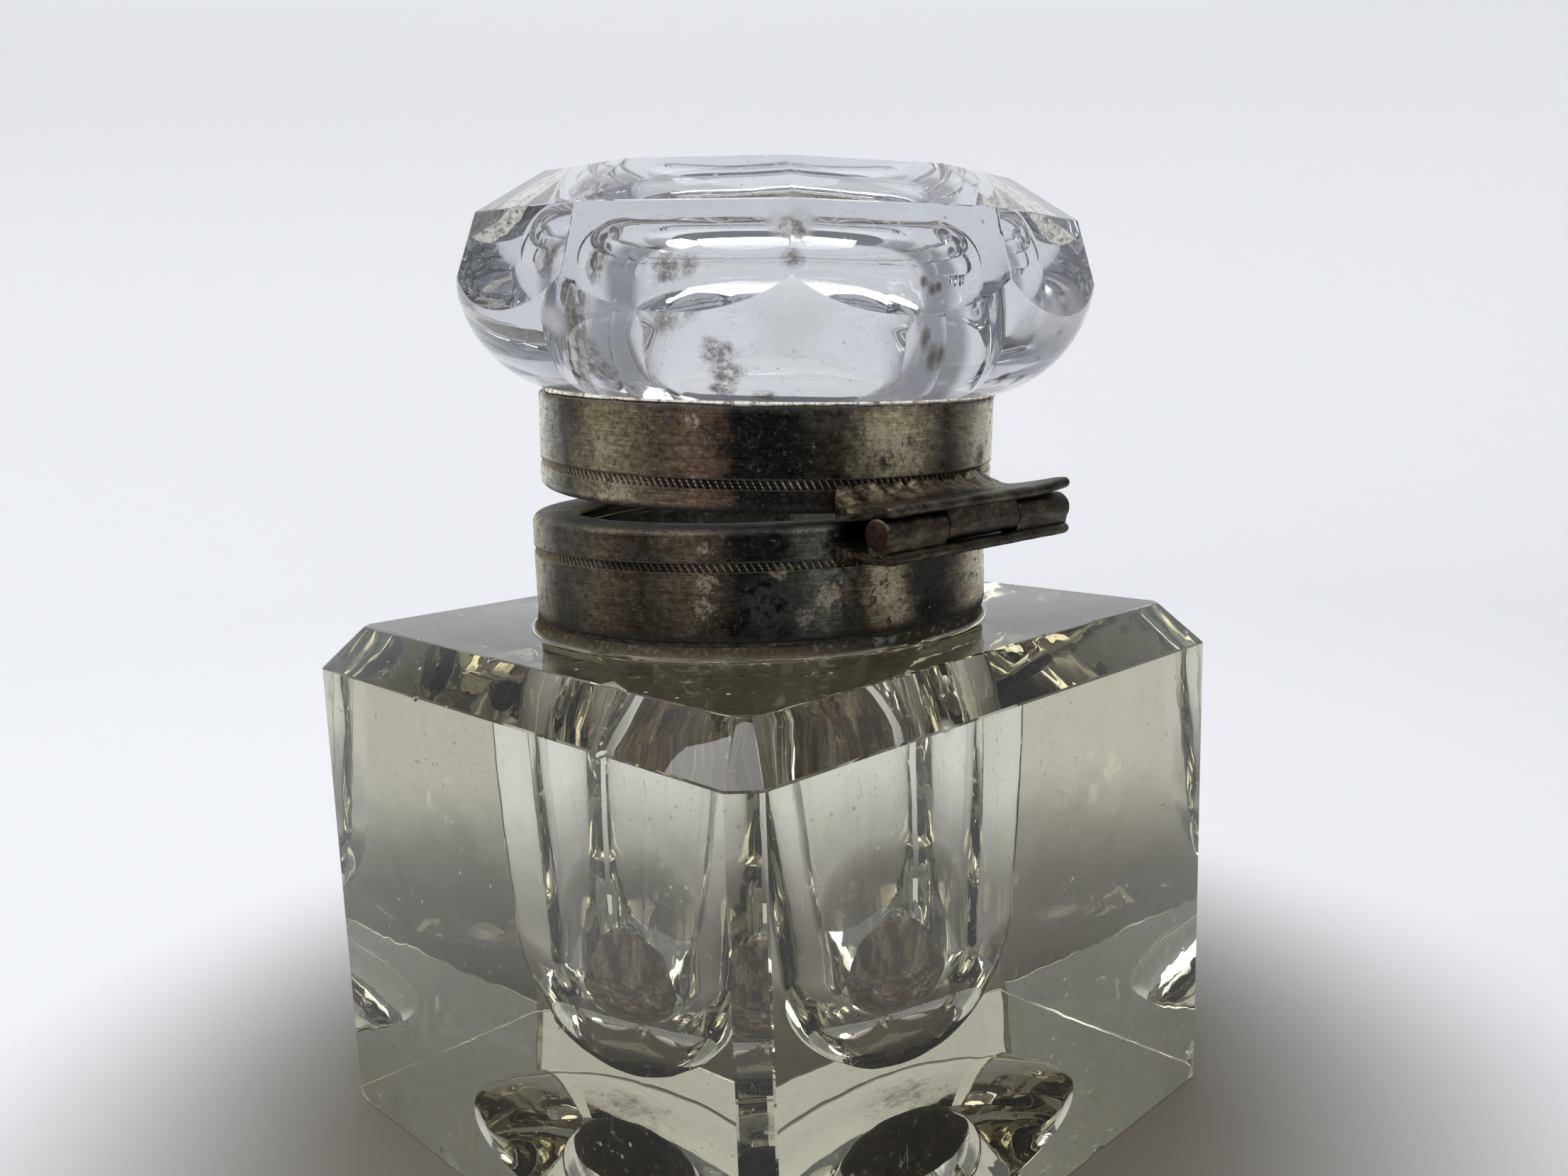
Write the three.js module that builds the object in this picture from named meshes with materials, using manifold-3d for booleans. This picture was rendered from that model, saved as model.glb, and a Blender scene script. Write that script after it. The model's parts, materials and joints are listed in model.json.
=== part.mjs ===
// Square cut-glass inkwell with a hinged, ten-sided hollow glass lid.
//
// Units are millimetres and +Z is up. The origin is the centre of the block's underside.
// The hinge is at the back, towards +Y. The lid stands slightly ajar at rest.

import * as THREE from 'three';
import { ConvexGeometry } from 'three/addons/geometries/ConvexGeometry.js';
import { mergeVertices } from 'three/addons/utils/BufferGeometryUtils.js';
import Module from 'manifold-3d';

const wasm = await Module();
wasm.setup();

// ---------------------------------------------------------------- driving dimensions

const ROUND_SEGMENTS = 64;
const BARREL_SEGMENTS = 24;
const FIT_GAP = 0.3; // clearance that every pair of neighbouring pieces keeps

// Square glass block
const BLOCK_WIDTH = 50;
const BLOCK_HEIGHT = 39.45;
const BLOCK_CORNER_CUT = 1.5;
const BEVEL_INSET = 2.8;
const BEVEL_DROP = 3.1;
const TOP_CORNER_CUT = 0.7;

// Neck that the lower collar is cemented to
const SEAT_RADIUS = 17.0;
const SEAT_HEIGHT = 0.95;
const SEAT_FILLET = 0.75;
const NECK_RADIUS = 14.9;
const NECK_TOP = 47.2;
const NECK_LIP_ROUND = 0.6;

// Ink well inside the block
const WELL_MOUTH_RADIUS = 13.0;
const WELL_WAIST_RADIUS = 11.5;
const WELL_WAIST_Z = 18;
const WELL_FLOOR_Z = 7.6;

// Ground hollow under the block
const RECESS_RADIUS = 17.6;
const RECESS_RIM = 0.5;
const RECESS_RIM_DEPTH = 0.35;
const RECESS_DEPTH = 4.2;

// Collars
const COLLAR_WALL = 0.8;
const COLLAR_ROUND = 0.7;
const LOWER_COLLAR_RADIUS = 17.15;
const LOWER_COLLAR_BOTTOM = 40.7;
const LOWER_COLLAR_TOP = 48.25;
const LOWER_LIP_RADIUS = 13.9;
const UPPER_COLLAR_RADIUS = 17.0;
const UPPER_COLLAR_BOTTOM = 48.5;
const UPPER_COLLAR_TOP = 55.45;
const UPPER_LIP_RADIUS = 13.9;

// Hinge
const HINGE_Y = 20.95;
const HINGE_Z = 48.05;
const BARREL_RADIUS = 1.05;
const BARREL_BORE_RADIUS = 0.72;
const PIN_RADIUS = 0.42;
const PIN_OVERHANG = 0.12;
const KNUCKLE_END_X = 9.65;
const MIDDLE_KNUCKLE_LENGTH = 7.5;
const LEAF_THICKNESS = 0.5;
const LEAF_OUTER_REACH = 1.1; // how far a leaf runs past the hinge axis
const LEAF_CORNER = 0.5;

// Ten-sided lid glass
const LID_SIDES = 10;
const LID_TURN_DEG = 48.2;
const TABLE_RADIUS = 17.0;
const TABLE_Z = 70.6;
const GIRDLE_RADIUS = 21.8;
const GIRDLE_Z = 67.7;
const SKIRT_RADIUS = 25.6;
const SKIRT_Z = 55.9;
const BELLY_RADIUS = 23.2;
const BELLY_Z = 64;
const BELLY_CURVE = 8.7;
const STUB_RADIUS = 14.6;
const STUB_BOTTOM = 50.2;
const HOLLOW_RADIUS = 12;
const HOLLOW_TOP = 65.5;
const HOLLOW_ROUND = 3.5;

// Hand assembly leaves the metal and the lid glass slightly off the block's axis
const LOWER_SHIFT = new THREE.Vector2(-0.15, 0.15);
const UPPER_SHIFT = new THREE.Vector2(-0.6, 0.55);
const LID_SHIFT = new THREE.Vector2(-1.0, 0.95);
const LID_AJAR_DEG = 3.466;

// ---------------------------------------------------------------- materials

const glass = new THREE.MeshStandardMaterial({ color: 0xdfe6e4, roughness: 0.03, metalness: 0 });
const cement = new THREE.MeshStandardMaterial({ color: 0xb9b09a, roughness: 0.9, metalness: 0 });
const silverPlate = new THREE.MeshStandardMaterial({ color: 0x6f685c, roughness: 0.45, metalness: 1 });
const tarnish = new THREE.MeshStandardMaterial({ color: 0x3a332b, roughness: 0.6, metalness: 1 });
const steelPin = new THREE.MeshStandardMaterial({ color: 0x5a3c28, roughness: 0.75, metalness: 0.8 });

// ---------------------------------------------------------------- helpers

/** A closed three.js geometry as a manifold solid. */
function solid(geometry) {
  const bare = geometry.clone();
  bare.deleteAttribute('normal');
  bare.deleteAttribute('uv');
  const merged = mergeVertices(bare, 1e-4);
  const vertProperties = new Float32Array(merged.attributes.position.array);
  const triVerts = new Uint32Array(merged.index.array);
  return new wasm.Manifold(new wasm.Mesh({ numProp: 3, vertProperties, triVerts }));
}

/** A manifold solid as a three.js geometry. */
function geometryOf(manifold) {
  const { vertProperties, triVerts } = manifold.getMesh();
  const geometry = new THREE.BufferGeometry();
  geometry.setAttribute('position', new THREE.BufferAttribute(new Float32Array(vertProperties), 3));
  geometry.setIndex(new THREE.BufferAttribute(new Uint32Array(triVerts), 1));
  geometry.computeVertexNormals();
  return geometry;
}

/** A body of revolution about Z from [radius, z] points that end on the axis or close on themselves. */
function turned(points, segments = ROUND_SEGMENTS) {
  const profile = points.map(([radius, z]) => new THREE.Vector2(radius, z));
  return new THREE.LatheGeometry(profile, segments).rotateX(Math.PI / 2);
}

/** Points of an arc in the profile plane, from one angle to another, in degrees. */
function arc(centreRadius, centreZ, radiusR, radiusZ, fromDeg, toDeg, steps) {
  return Array.from({ length: steps + 1 }, (_, i) => {
    const angle = THREE.MathUtils.degToRad(fromDeg + ((toDeg - fromDeg) * i) / steps);
    return [centreRadius + radiusR * Math.cos(angle), centreZ + radiusZ * Math.sin(angle)];
  });
}

/** A mesh with its node name. */
function piece(name, geometry, material) {
  const mesh = new THREE.Mesh(geometry, material);
  mesh.name = name;
  return mesh;
}

/** The corners of a square with cut corners, at height z. */
function cutSquare(width, cut, z) {
  const half = width / 2;
  const quarter = [[half, half - cut], [half - cut, half]];
  const corners = [];
  for (let turn = 0; turn < 4; turn++) {
    const spin = (turn * Math.PI) / 2;
    for (const [x, y] of quarter) {
      const corner = new THREE.Vector2(x, y).rotateAround(new THREE.Vector2(), spin);
      corners.push(new THREE.Vector3(corner.x, corner.y, z));
    }
  }
  return corners;
}

/** The corners of the lid's regular outline, at height z. */
function lidOutline(radius, z) {
  return Array.from({ length: LID_SIDES }, (_, i) => {
    const angle = THREE.MathUtils.degToRad(LID_TURN_DEG + (360 / LID_SIDES) * i);
    return new THREE.Vector3(radius * Math.cos(angle), radius * Math.sin(angle), z);
  });
}

// ---------------------------------------------------------------- glass

/** The square block with its bevelled top and cut corners. */
function blockBody() {
  const shoulderZ = BLOCK_HEIGHT - BEVEL_DROP;
  return new ConvexGeometry([
    ...cutSquare(BLOCK_WIDTH, BLOCK_CORNER_CUT, 0),
    ...cutSquare(BLOCK_WIDTH, BLOCK_CORNER_CUT, shoulderZ),
    ...cutSquare(BLOCK_WIDTH - 2 * BEVEL_INSET, TOP_CORNER_CUT, BLOCK_HEIGHT),
  ]);
}

/** The round seat and neck on top of the block. */
function neck() {
  const rootZ = BLOCK_HEIGHT - 2;
  const seatZ = BLOCK_HEIGHT + SEAT_HEIGHT;
  const filletCentre = SEAT_RADIUS + SEAT_FILLET;
  const fillet = arc(filletCentre, BLOCK_HEIGHT + SEAT_FILLET, SEAT_FILLET, SEAT_FILLET, 270, 180, 3);
  const lipCentre = NECK_RADIUS - NECK_LIP_ROUND;
  const lip = arc(lipCentre, NECK_TOP - NECK_LIP_ROUND, NECK_LIP_ROUND, NECK_LIP_ROUND, 0, 90, 3);
  return turned([
    [0, rootZ],
    [filletCentre, rootZ],
    ...fillet,
    [SEAT_RADIUS, seatZ],
    [NECK_RADIUS, seatZ],
    ...lip,
    [0, NECK_TOP],
  ]);
}

/** The space that holds the ink: a tapered bore with a bowl-shaped floor. */
function well() {
  const bowlDepth = WELL_WAIST_Z - WELL_FLOOR_Z;
  const bowl = arc(0, WELL_WAIST_Z, WELL_WAIST_RADIUS, bowlDepth, 270, 360, 9);
  return turned([
    ...bowl.map(([radius, z], i) => [i === 0 ? 0 : radius, z]),
    [WELL_MOUTH_RADIUS, NECK_TOP - 12],
    [WELL_MOUTH_RADIUS, NECK_TOP + 1],
    [0, NECK_TOP + 1],
  ]);
}

/** The hollow ground into the underside: part of a ball, with a small bevelled rim. */
function recess() {
  const edge = RECESS_RADIUS - RECESS_RIM;
  const rise = RECESS_DEPTH - RECESS_RIM_DEPTH;
  const ball = (edge ** 2 + rise ** 2) / (2 * rise);
  const edgeDeg = THREE.MathUtils.radToDeg(Math.acos(edge / ball));
  const dome = arc(0, RECESS_DEPTH - ball, ball, ball, edgeDeg, 90, 6);
  return turned([
    [0, -1],
    [RECESS_RADIUS, -1],
    [RECESS_RADIUS, 0],
    ...dome.slice(0, -1),
    [0, RECESS_DEPTH],
  ]);
}

function glassBlock() {
  const body = solid(blockBody()).add(solid(neck()));
  const hollowed = body.subtract(solid(well())).subtract(solid(recess()));
  return piece('glass_block', geometryOf(hollowed), glass);
}

/** The lid's round belly and the stub that is cemented into the upper collar. */
function lidBelly() {
  const centreRadius = BELLY_RADIUS - BELLY_CURVE;
  const undersideZ = UPPER_COLLAR_TOP + FIT_GAP;
  const lowestDeg = -THREE.MathUtils.radToDeg(Math.asin((BELLY_Z - undersideZ) / BELLY_CURVE));
  return turned([
    [0, STUB_BOTTOM],
    [STUB_RADIUS, STUB_BOTTOM],
    [STUB_RADIUS, undersideZ],
    ...arc(centreRadius, BELLY_Z, BELLY_CURVE, BELLY_CURVE, lowestDeg, 0, 7),
    [BELLY_RADIUS, TABLE_Z + 1],
    [0, TABLE_Z + 1],
  ]);
}

/** The faceted envelope: steep sides, flatter upper facets and a level table. */
function lidFacets() {
  return new ConvexGeometry([
    ...lidOutline(STUB_RADIUS + 1, STUB_BOTTOM - 1),
    ...lidOutline(SKIRT_RADIUS, SKIRT_Z),
    ...lidOutline(GIRDLE_RADIUS, GIRDLE_Z),
    ...lidOutline(TABLE_RADIUS, TABLE_Z),
  ]);
}

/** The hollow inside the lid glass, round-shouldered and open below. */
function lidHollow() {
  const roundRadius = HOLLOW_RADIUS - HOLLOW_ROUND;
  return turned([
    [0, STUB_BOTTOM - 1],
    [HOLLOW_RADIUS, STUB_BOTTOM - 1],
    ...arc(roundRadius, HOLLOW_TOP - HOLLOW_ROUND, HOLLOW_ROUND, HOLLOW_ROUND, 0, 90, 5),
    [0, HOLLOW_TOP],
  ]);
}

function lidGlass() {
  const cut = solid(lidBelly()).intersect(solid(lidFacets())).subtract(solid(lidHollow()));
  return piece('lid_glass', geometryOf(cut), glass);
}

// ---------------------------------------------------------------- collars and cement

/** A thin-walled collar standing on its flange: open at z = 0, rounded and lipped inwards at the top. */
function collar(outerRadius, height, lipRadius) {
  const innerRadius = outerRadius - COLLAR_WALL;
  const roundZ = height - COLLAR_ROUND;
  const round = arc(outerRadius - COLLAR_ROUND, roundZ, COLLAR_ROUND, COLLAR_ROUND, 0, 90, 3);
  return turned([
    [innerRadius, 0],
    [outerRadius, 0],
    ...round,
    [lipRadius, height],
    [lipRadius, height - COLLAR_WALL],
    [innerRadius, height - COLLAR_WALL],
    [innerRadius, 0],
  ]);
}

/** The cement that fills the gap between glass and metal. */
function cementRing(innerRadius, outerRadius, bottom, top) {
  return turned([
    [innerRadius, bottom],
    [outerRadius, bottom],
    [outerRadius, top],
    [innerRadius, top],
    [innerRadius, bottom],
  ], 48);
}

function lowerCollar() {
  const height = LOWER_COLLAR_TOP - LOWER_COLLAR_BOTTOM;
  const mesh = piece('lower_collar', collar(LOWER_COLLAR_RADIUS, height, LOWER_LIP_RADIUS), silverPlate);
  mesh.position.set(LOWER_SHIFT.x, LOWER_SHIFT.y, LOWER_COLLAR_BOTTOM);
  return mesh;
}

/** The upper collar is the same pressing turned over, with its lip at the bottom. */
function upperCollar() {
  const height = UPPER_COLLAR_TOP - UPPER_COLLAR_BOTTOM;
  const mesh = piece('upper_collar', collar(UPPER_COLLAR_RADIUS, height, UPPER_LIP_RADIUS), silverPlate);
  mesh.rotation.x = Math.PI;
  mesh.position.set(UPPER_SHIFT.x, UPPER_SHIFT.y, UPPER_COLLAR_TOP);
  return mesh;
}

function lowerCement() {
  const bottom = LOWER_COLLAR_BOTTOM + FIT_GAP;
  const top = LOWER_COLLAR_TOP - COLLAR_WALL - FIT_GAP;
  const outer = LOWER_COLLAR_RADIUS - COLLAR_WALL - LOWER_SHIFT.length() - 0.1;
  return piece('lower_cement', cementRing(NECK_RADIUS + FIT_GAP, outer, bottom, top), cement);
}

function upperCement() {
  const bottom = UPPER_COLLAR_BOTTOM + COLLAR_WALL + FIT_GAP;
  const top = UPPER_COLLAR_TOP - FIT_GAP;
  const offset = LID_SHIFT.clone().sub(UPPER_SHIFT).length();
  const outer = UPPER_COLLAR_RADIUS - COLLAR_WALL - offset - 0.1;
  const mesh = piece('upper_cement', cementRing(STUB_RADIUS + FIT_GAP, outer, bottom, top), cement);
  mesh.position.set(LID_SHIFT.x, LID_SHIFT.y, 0);
  return mesh;
}

// ---------------------------------------------------------------- hinge

/** A hinge leaf: a flat tab, hollowed to the collar at the front and rounded at its outer corners. */
function leaf(collarRadius, collarShift) {
  const outerY = HINGE_Y + LEAF_OUTER_REACH;
  const clearRadius = collarRadius + FIT_GAP;
  const cornerAngle = Math.acos((KNUCKLE_END_X - collarShift.x) / clearRadius);
  const farAngle = Math.acos((-KNUCKLE_END_X - collarShift.x) / clearRadius);
  const shape = new THREE.Shape();
  shape.moveTo(KNUCKLE_END_X, collarShift.y + clearRadius * Math.sin(cornerAngle));
  shape.lineTo(KNUCKLE_END_X, outerY - LEAF_CORNER);
  shape.absarc(KNUCKLE_END_X - LEAF_CORNER, outerY - LEAF_CORNER, LEAF_CORNER, 0, Math.PI / 2);
  shape.absarc(LEAF_CORNER - KNUCKLE_END_X, outerY - LEAF_CORNER, LEAF_CORNER, Math.PI / 2, Math.PI);
  shape.lineTo(-KNUCKLE_END_X, collarShift.y + clearRadius * Math.sin(farAngle));
  shape.absarc(collarShift.x, collarShift.y, clearRadius, farAngle, cornerAngle, true);
  return new THREE.ExtrudeGeometry(shape, { depth: LEAF_THICKNESS, bevelEnabled: false, curveSegments: 12 });
}

/** A barrel section between two places along the hinge axis. */
function knuckle(name, fromX, toX) {
  const length = toX - fromX;
  const tube = turned([
    [BARREL_BORE_RADIUS, 0],
    [BARREL_RADIUS, 0],
    [BARREL_RADIUS, length],
    [BARREL_BORE_RADIUS, length],
    [BARREL_BORE_RADIUS, 0],
  ], BARREL_SEGMENTS);
  const mesh = piece(name, tube, tarnish);
  mesh.rotation.y = Math.PI / 2;
  mesh.position.set(fromX, HINGE_Y, HINGE_Z);
  return mesh;
}

function hingePin() {
  const halfLength = KNUCKLE_END_X + PIN_OVERHANG;
  const rod = turned([
    [0, -halfLength],
    [PIN_RADIUS, -halfLength],
    [PIN_RADIUS, halfLength],
    [0, halfLength],
  ], BARREL_SEGMENTS);
  const mesh = piece('hinge_pin', rod, steelPin);
  mesh.rotation.y = Math.PI / 2;
  mesh.position.set(0, HINGE_Y, HINGE_Z);
  return mesh;
}

function lowerLeaf() {
  const mesh = piece('lower_hinge_leaf', leaf(LOWER_COLLAR_RADIUS, LOWER_SHIFT), tarnish);
  mesh.position.z = HINGE_Z - BARREL_RADIUS - FIT_GAP - LEAF_THICKNESS;
  return mesh;
}

function upperLeaf() {
  const mesh = piece('upper_hinge_leaf', leaf(UPPER_COLLAR_RADIUS, UPPER_SHIFT), tarnish);
  mesh.position.z = HINGE_Z + BARREL_RADIUS + FIT_GAP;
  return mesh;
}

// ---------------------------------------------------------------- assembly

/** Everything that stands still. */
function buildBase() {
  const seam = MIDDLE_KNUCKLE_LENGTH / 2 + FIT_GAP;
  const base = new THREE.Group();
  base.add(glassBlock(), lowerCement(), lowerCollar(), lowerLeaf());
  base.add(knuckle('right_knuckle', seam, KNUCKLE_END_X));
  base.add(knuckle('left_knuckle', -KNUCKLE_END_X, -seam));
  base.add(hingePin());
  return base;
}

/** The lid, built closed and then turned about the hinge axis to where it stands ajar. */
function buildLid() {
  const half = MIDDLE_KNUCKLE_LENGTH / 2;
  const closed = new THREE.Group();
  const top = lidGlass();
  top.position.set(LID_SHIFT.x, LID_SHIFT.y, 0);
  closed.add(top, upperCement(), upperCollar(), upperLeaf(), knuckle('middle_knuckle', -half, half));
  closed.position.set(0, -HINGE_Y, -HINGE_Z);

  const hinge = new THREE.Group();
  hinge.position.set(0, HINGE_Y, HINGE_Z);
  hinge.rotation.x = -THREE.MathUtils.degToRad(LID_AJAR_DEG);
  hinge.add(closed);
  return hinge;
}

const inkwell = new THREE.Group();
inkwell.name = 'inkwell';
inkwell.add(buildBase(), buildLid());

export default inkwell;
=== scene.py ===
"""Square cut-glass inkwell with a hinged hollow glass lid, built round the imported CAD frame.

Lengths below are millimetres and are turned into metres where a mesh is made. The lid's pieces are modelled
closed and placed by one matrix that swings them open about the hinge to the rest pose.
"""

import json
import math

import bmesh
import bpy
from mathutils import Matrix, Vector, noise


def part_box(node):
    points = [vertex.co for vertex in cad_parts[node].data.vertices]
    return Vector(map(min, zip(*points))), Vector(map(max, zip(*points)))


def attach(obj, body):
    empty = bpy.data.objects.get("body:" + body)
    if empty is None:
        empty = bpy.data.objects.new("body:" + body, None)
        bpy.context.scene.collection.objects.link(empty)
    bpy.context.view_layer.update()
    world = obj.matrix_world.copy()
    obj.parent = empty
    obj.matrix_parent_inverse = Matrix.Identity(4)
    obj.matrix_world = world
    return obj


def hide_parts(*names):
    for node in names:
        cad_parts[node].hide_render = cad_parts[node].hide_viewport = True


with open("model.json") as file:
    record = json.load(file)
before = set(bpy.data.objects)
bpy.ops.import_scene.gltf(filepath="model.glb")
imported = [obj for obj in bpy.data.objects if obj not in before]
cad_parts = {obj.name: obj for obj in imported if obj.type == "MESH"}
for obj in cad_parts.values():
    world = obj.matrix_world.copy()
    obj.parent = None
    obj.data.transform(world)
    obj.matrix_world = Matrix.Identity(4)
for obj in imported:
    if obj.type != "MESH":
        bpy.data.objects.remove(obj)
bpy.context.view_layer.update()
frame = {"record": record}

MM = 0.001

# ---- places from the frame

HINGE = frame["record"]["behaviour"]["joints"][0]
HINGE_AT = Vector(HINGE["pos_m"])
AJAR = math.radians(-HINGE["range_deg"][0])
LID_PLACE = Matrix.Translation(HINGE_AT) @ Matrix.Rotation(-AJAR, 4, "X") @ Matrix.Translation(-HINGE_AT)


def box_mm(node):
    """The lowest and highest corners of a CAD node, in millimetres."""
    low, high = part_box(node)
    return low / MM, high / MM


BLOCK_HIGH = box_mm("glass_block")[1]
BLOCK_HALF = BLOCK_HIGH.x
NECK_TOP = BLOCK_HIGH.z
COLLAR_LOW, COLLAR_HIGH = box_mm("lower_collar")
LOWER_CENTRE = ((COLLAR_LOW.x + COLLAR_HIGH.x) / 2, (COLLAR_LOW.y + COLLAR_HIGH.y) / 2)
LOWER_RADIUS = (COLLAR_HIGH.x - COLLAR_LOW.x) / 2
LOWER_BOTTOM = COLLAR_LOW.z
LOWER_TOP = COLLAR_HIGH.z
PIN_END = box_mm("hinge_pin")[1].x
HINGE_Y = HINGE_AT.y / MM
HINGE_Z = HINGE_AT.z / MM

# ---- glass sizes

SHOULDER_TOP = 39.45
BEVEL_INSET = 2.8
BEVEL_DROP = 3.1
CORNER_CUT = 1.5
TOP_CORNER_CUT = 0.7
SEAT_RADIUS = 17.0
SEAT_HEIGHT = 0.95
SEAT_FILLET = 0.75
NECK_RADIUS = 14.9
NECK_LIP = 0.6
WELL_MOUTH = 13.0
WELL_WAIST = 11.5
WELL_WAIST_Z = 18.0
WELL_FLOOR_Z = 7.6
RECESS_RADIUS = 17.6
RECESS_RIM = 0.5
RECESS_RIM_DEPTH = 0.35
RECESS_DEPTH = 4.2

LID_CENTRE = (-1.0, 0.95)
LID_SIDES = 10
LID_TURN = math.radians(48.2)
TABLE_RADIUS = 17.0
TABLE_Z = 70.6
GIRDLE_RADIUS = 21.8
GIRDLE_Z = 67.7
SKIRT_RADIUS = 25.6
SKIRT_Z = 55.9
BELLY_RADIUS = 23.2
BELLY_Z = 64.0
BELLY_CURVE = 8.7
UNDERSIDE_Z = 55.75
STUB_RADIUS = 14.6
STUB_BOTTOM = 50.2
HOLLOW_RADIUS = 12.0
HOLLOW_TOP = 65.5
HOLLOW_ROUND = 3.5

# ---- metal sizes

COLLAR_WALL = 0.8
COLLAR_ROUND = 0.7
LIP_RADIUS = 13.9
UPPER_CENTRE = (-0.6, 0.55)
UPPER_RADIUS = 17.0
UPPER_BOTTOM = 48.5
UPPER_TOP = 55.45
LOWER_BAND = (45.35, 45.97)
UPPER_BAND = (50.1, 50.75)
TEETH = 219
GROOVE = 0.10
TOOTH = 0.30
TOOTH_SAMPLES = 4
LOWER_CEMENT_TOP = 46.4
UPPER_CEMENT_BOTTOM = 50.25
BARREL_RADIUS = 1.05
KNUCKLE_END = 9.65
MIDDLE_HALF = 3.68
OUTER_START = 3.80
LEAF_THICK = 0.74
LEAF_GAP = 0.06
LEAF_REACH = 1.1
LEAF_CORNER = 0.5
LEAF_END_Y = 18.9
LEAF_SLOPE = 0.155
SOLDER_REACH = 2.4

# The azimuth of the front corner, which the marks on the metal and glass are measured from, in degrees.
FRONT = 46.9


# ---- mesh helpers


def make_object(name, bm, place=None, smooth_deg=20.0):
    """A new object from a bmesh in millimetres, smooth except across edges sharper than smooth_deg."""
    mesh = bpy.data.meshes.new(name)
    bmesh.ops.recalc_face_normals(bm, faces=bm.faces)
    bm.to_mesh(mesh)
    bm.free()
    mesh.transform(Matrix.Scale(MM, 4))
    obj = bpy.data.objects.new(name, mesh)
    bpy.context.scene.collection.objects.link(obj)
    if place is not None:
        obj.matrix_world = place
    shade(obj, smooth_deg)
    return obj


def shade(obj, smooth_deg):
    """Smooth shading with sharp edges kept."""
    obj.data.shade_smooth()
    obj.data.set_sharp_from_angle(angle=math.radians(smooth_deg))


def finish(obj, body, material, slot, *nodes):
    """Gives a piece its material and body, and hides the CAD nodes it stands for; slot is not used."""
    obj.data.materials.clear()
    obj.data.materials.append(material)
    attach(obj, body)
    if nodes:
        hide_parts(*nodes)


def revolve(points, segments=128, centre=(0, 0), closed=False, wobble=None, lift=None):
    """A bmesh turned about a vertical axis from (radius, z) points.

    wobble(angle, radius, z) adds to the radius and lift(angle, radius, z) adds to the height.
    """
    bm = bmesh.new()
    rings = []
    for radius, z in points:
        if radius < 1e-6:
            rise = lift(0, 0, z) if lift else 0
            rings.append([bm.verts.new((centre[0], centre[1], z + rise))])
            continue
        ring = []
        for i in range(segments):
            a = 2 * math.pi * i / segments
            r = radius + (wobble(a, radius, z) if wobble else 0)
            rise = lift(a, radius, z) if lift else 0
            ring.append(bm.verts.new((centre[0] + r * math.cos(a), centre[1] + r * math.sin(a), z + rise)))
        rings.append(ring)
    pairs = list(zip(rings, rings[1:] + rings[:1])) if closed else list(zip(rings, rings[1:]))
    for lower, upper in pairs:
        for i in range(segments):
            j = (i + 1) % segments
            corners = [ring[k % len(ring)] for ring, k in ((lower, i), (lower, j), (upper, j), (upper, i))]
            unique = list(dict.fromkeys(corners))
            if len(unique) > 2:
                bm.faces.new(unique)
    return bm


def arc(centre_r, centre_z, radius_r, radius_z, start_deg, end_deg, steps):
    """Points of an elliptical arc in the (radius, z) plane."""
    points = []
    for i in range(steps + 1):
        a = math.radians(start_deg + (end_deg - start_deg) * i / steps)
        points.append((centre_r + radius_r * math.cos(a), centre_z + radius_z * math.sin(a)))
    return points


def between(start, end, steps):
    """Evenly spaced points from start up to, but without, end."""
    return [
        (start[0] + (end[0] - start[0]) * i / steps, start[1] + (end[1] - start[1]) * i / steps)
        for i in range(steps)
    ]


def ring_noise(angle, z, frequency, seed):
    """Smooth noise that closes on itself round a circle."""
    return noise.noise(Vector((math.cos(angle) * frequency, math.sin(angle) * frequency, z * 0.35 + seed)))


def smooth_step(value, low, high):
    """0 below low, 1 above high and a smooth rise between."""
    t = min(1.0, max(0.0, (value - low) / (high - low)))
    return t * t * (3 - 2 * t)


def angle_gap(angle, degrees):
    """How far angle (radians) is from a direction measured from the front corner, in degrees."""
    return (math.degrees(angle) - FRONT - degrees + 180) % 360 - 180


def hull(points):
    """A bmesh convex hull with flat faces merged."""
    bm = bmesh.new()
    for p in points:
        bm.verts.new(p)
    bmesh.ops.convex_hull(bm, input=bm.verts)
    bmesh.ops.dissolve_limit(bm, angle_limit=math.radians(0.5), verts=bm.verts, edges=bm.edges)
    return bm


def soften_edges(bm, width):
    """A fine chamfer on every edge, as polishing leaves."""
    bmesh.ops.bevel(
        bm, geom=list(bm.edges), offset=width, offset_type="OFFSET", segments=1, profile=0.5, affect="EDGES"
    )


def combine(obj, other, operation):
    """Joins or cuts obj with other, then removes other."""
    modifier = obj.modifiers.new("combine", "BOOLEAN")
    modifier.operation = operation
    modifier.solver = "EXACT"
    modifier.object = other
    bpy.context.view_layer.update()
    depsgraph = bpy.context.evaluated_depsgraph_get()
    mesh = bpy.data.meshes.new_from_object(obj.evaluated_get(depsgraph))
    obj.modifiers.clear()
    old = obj.data
    obj.data = mesh
    mesh.name = obj.name
    bpy.data.meshes.remove(old)
    bpy.data.objects.remove(other)


def chip(obj, centre, radii, turn, seed):
    """Knocks a shell-shaped flake off obj, in the same millimetres as its own mesh."""
    bm = bmesh.new()
    bmesh.ops.create_icosphere(bm, subdivisions=3, radius=1)
    spin = Matrix.Rotation(turn, 4, "Z") @ Matrix.Rotation(turn * 1.7, 4, "X")
    for v in bm.verts:
        ripple = 1 + 0.16 * noise.noise(v.co * 2.1 + Vector((seed, 0, 0)))
        ripple += 0.03 * math.sin(v.co.x * 14 + seed)
        v.co = Vector(centre) + spin @ Vector(v.co[i] * radii[i] * ripple for i in range(3))
    combine(obj, make_object("flake", bm), "DIFFERENCE")


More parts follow.
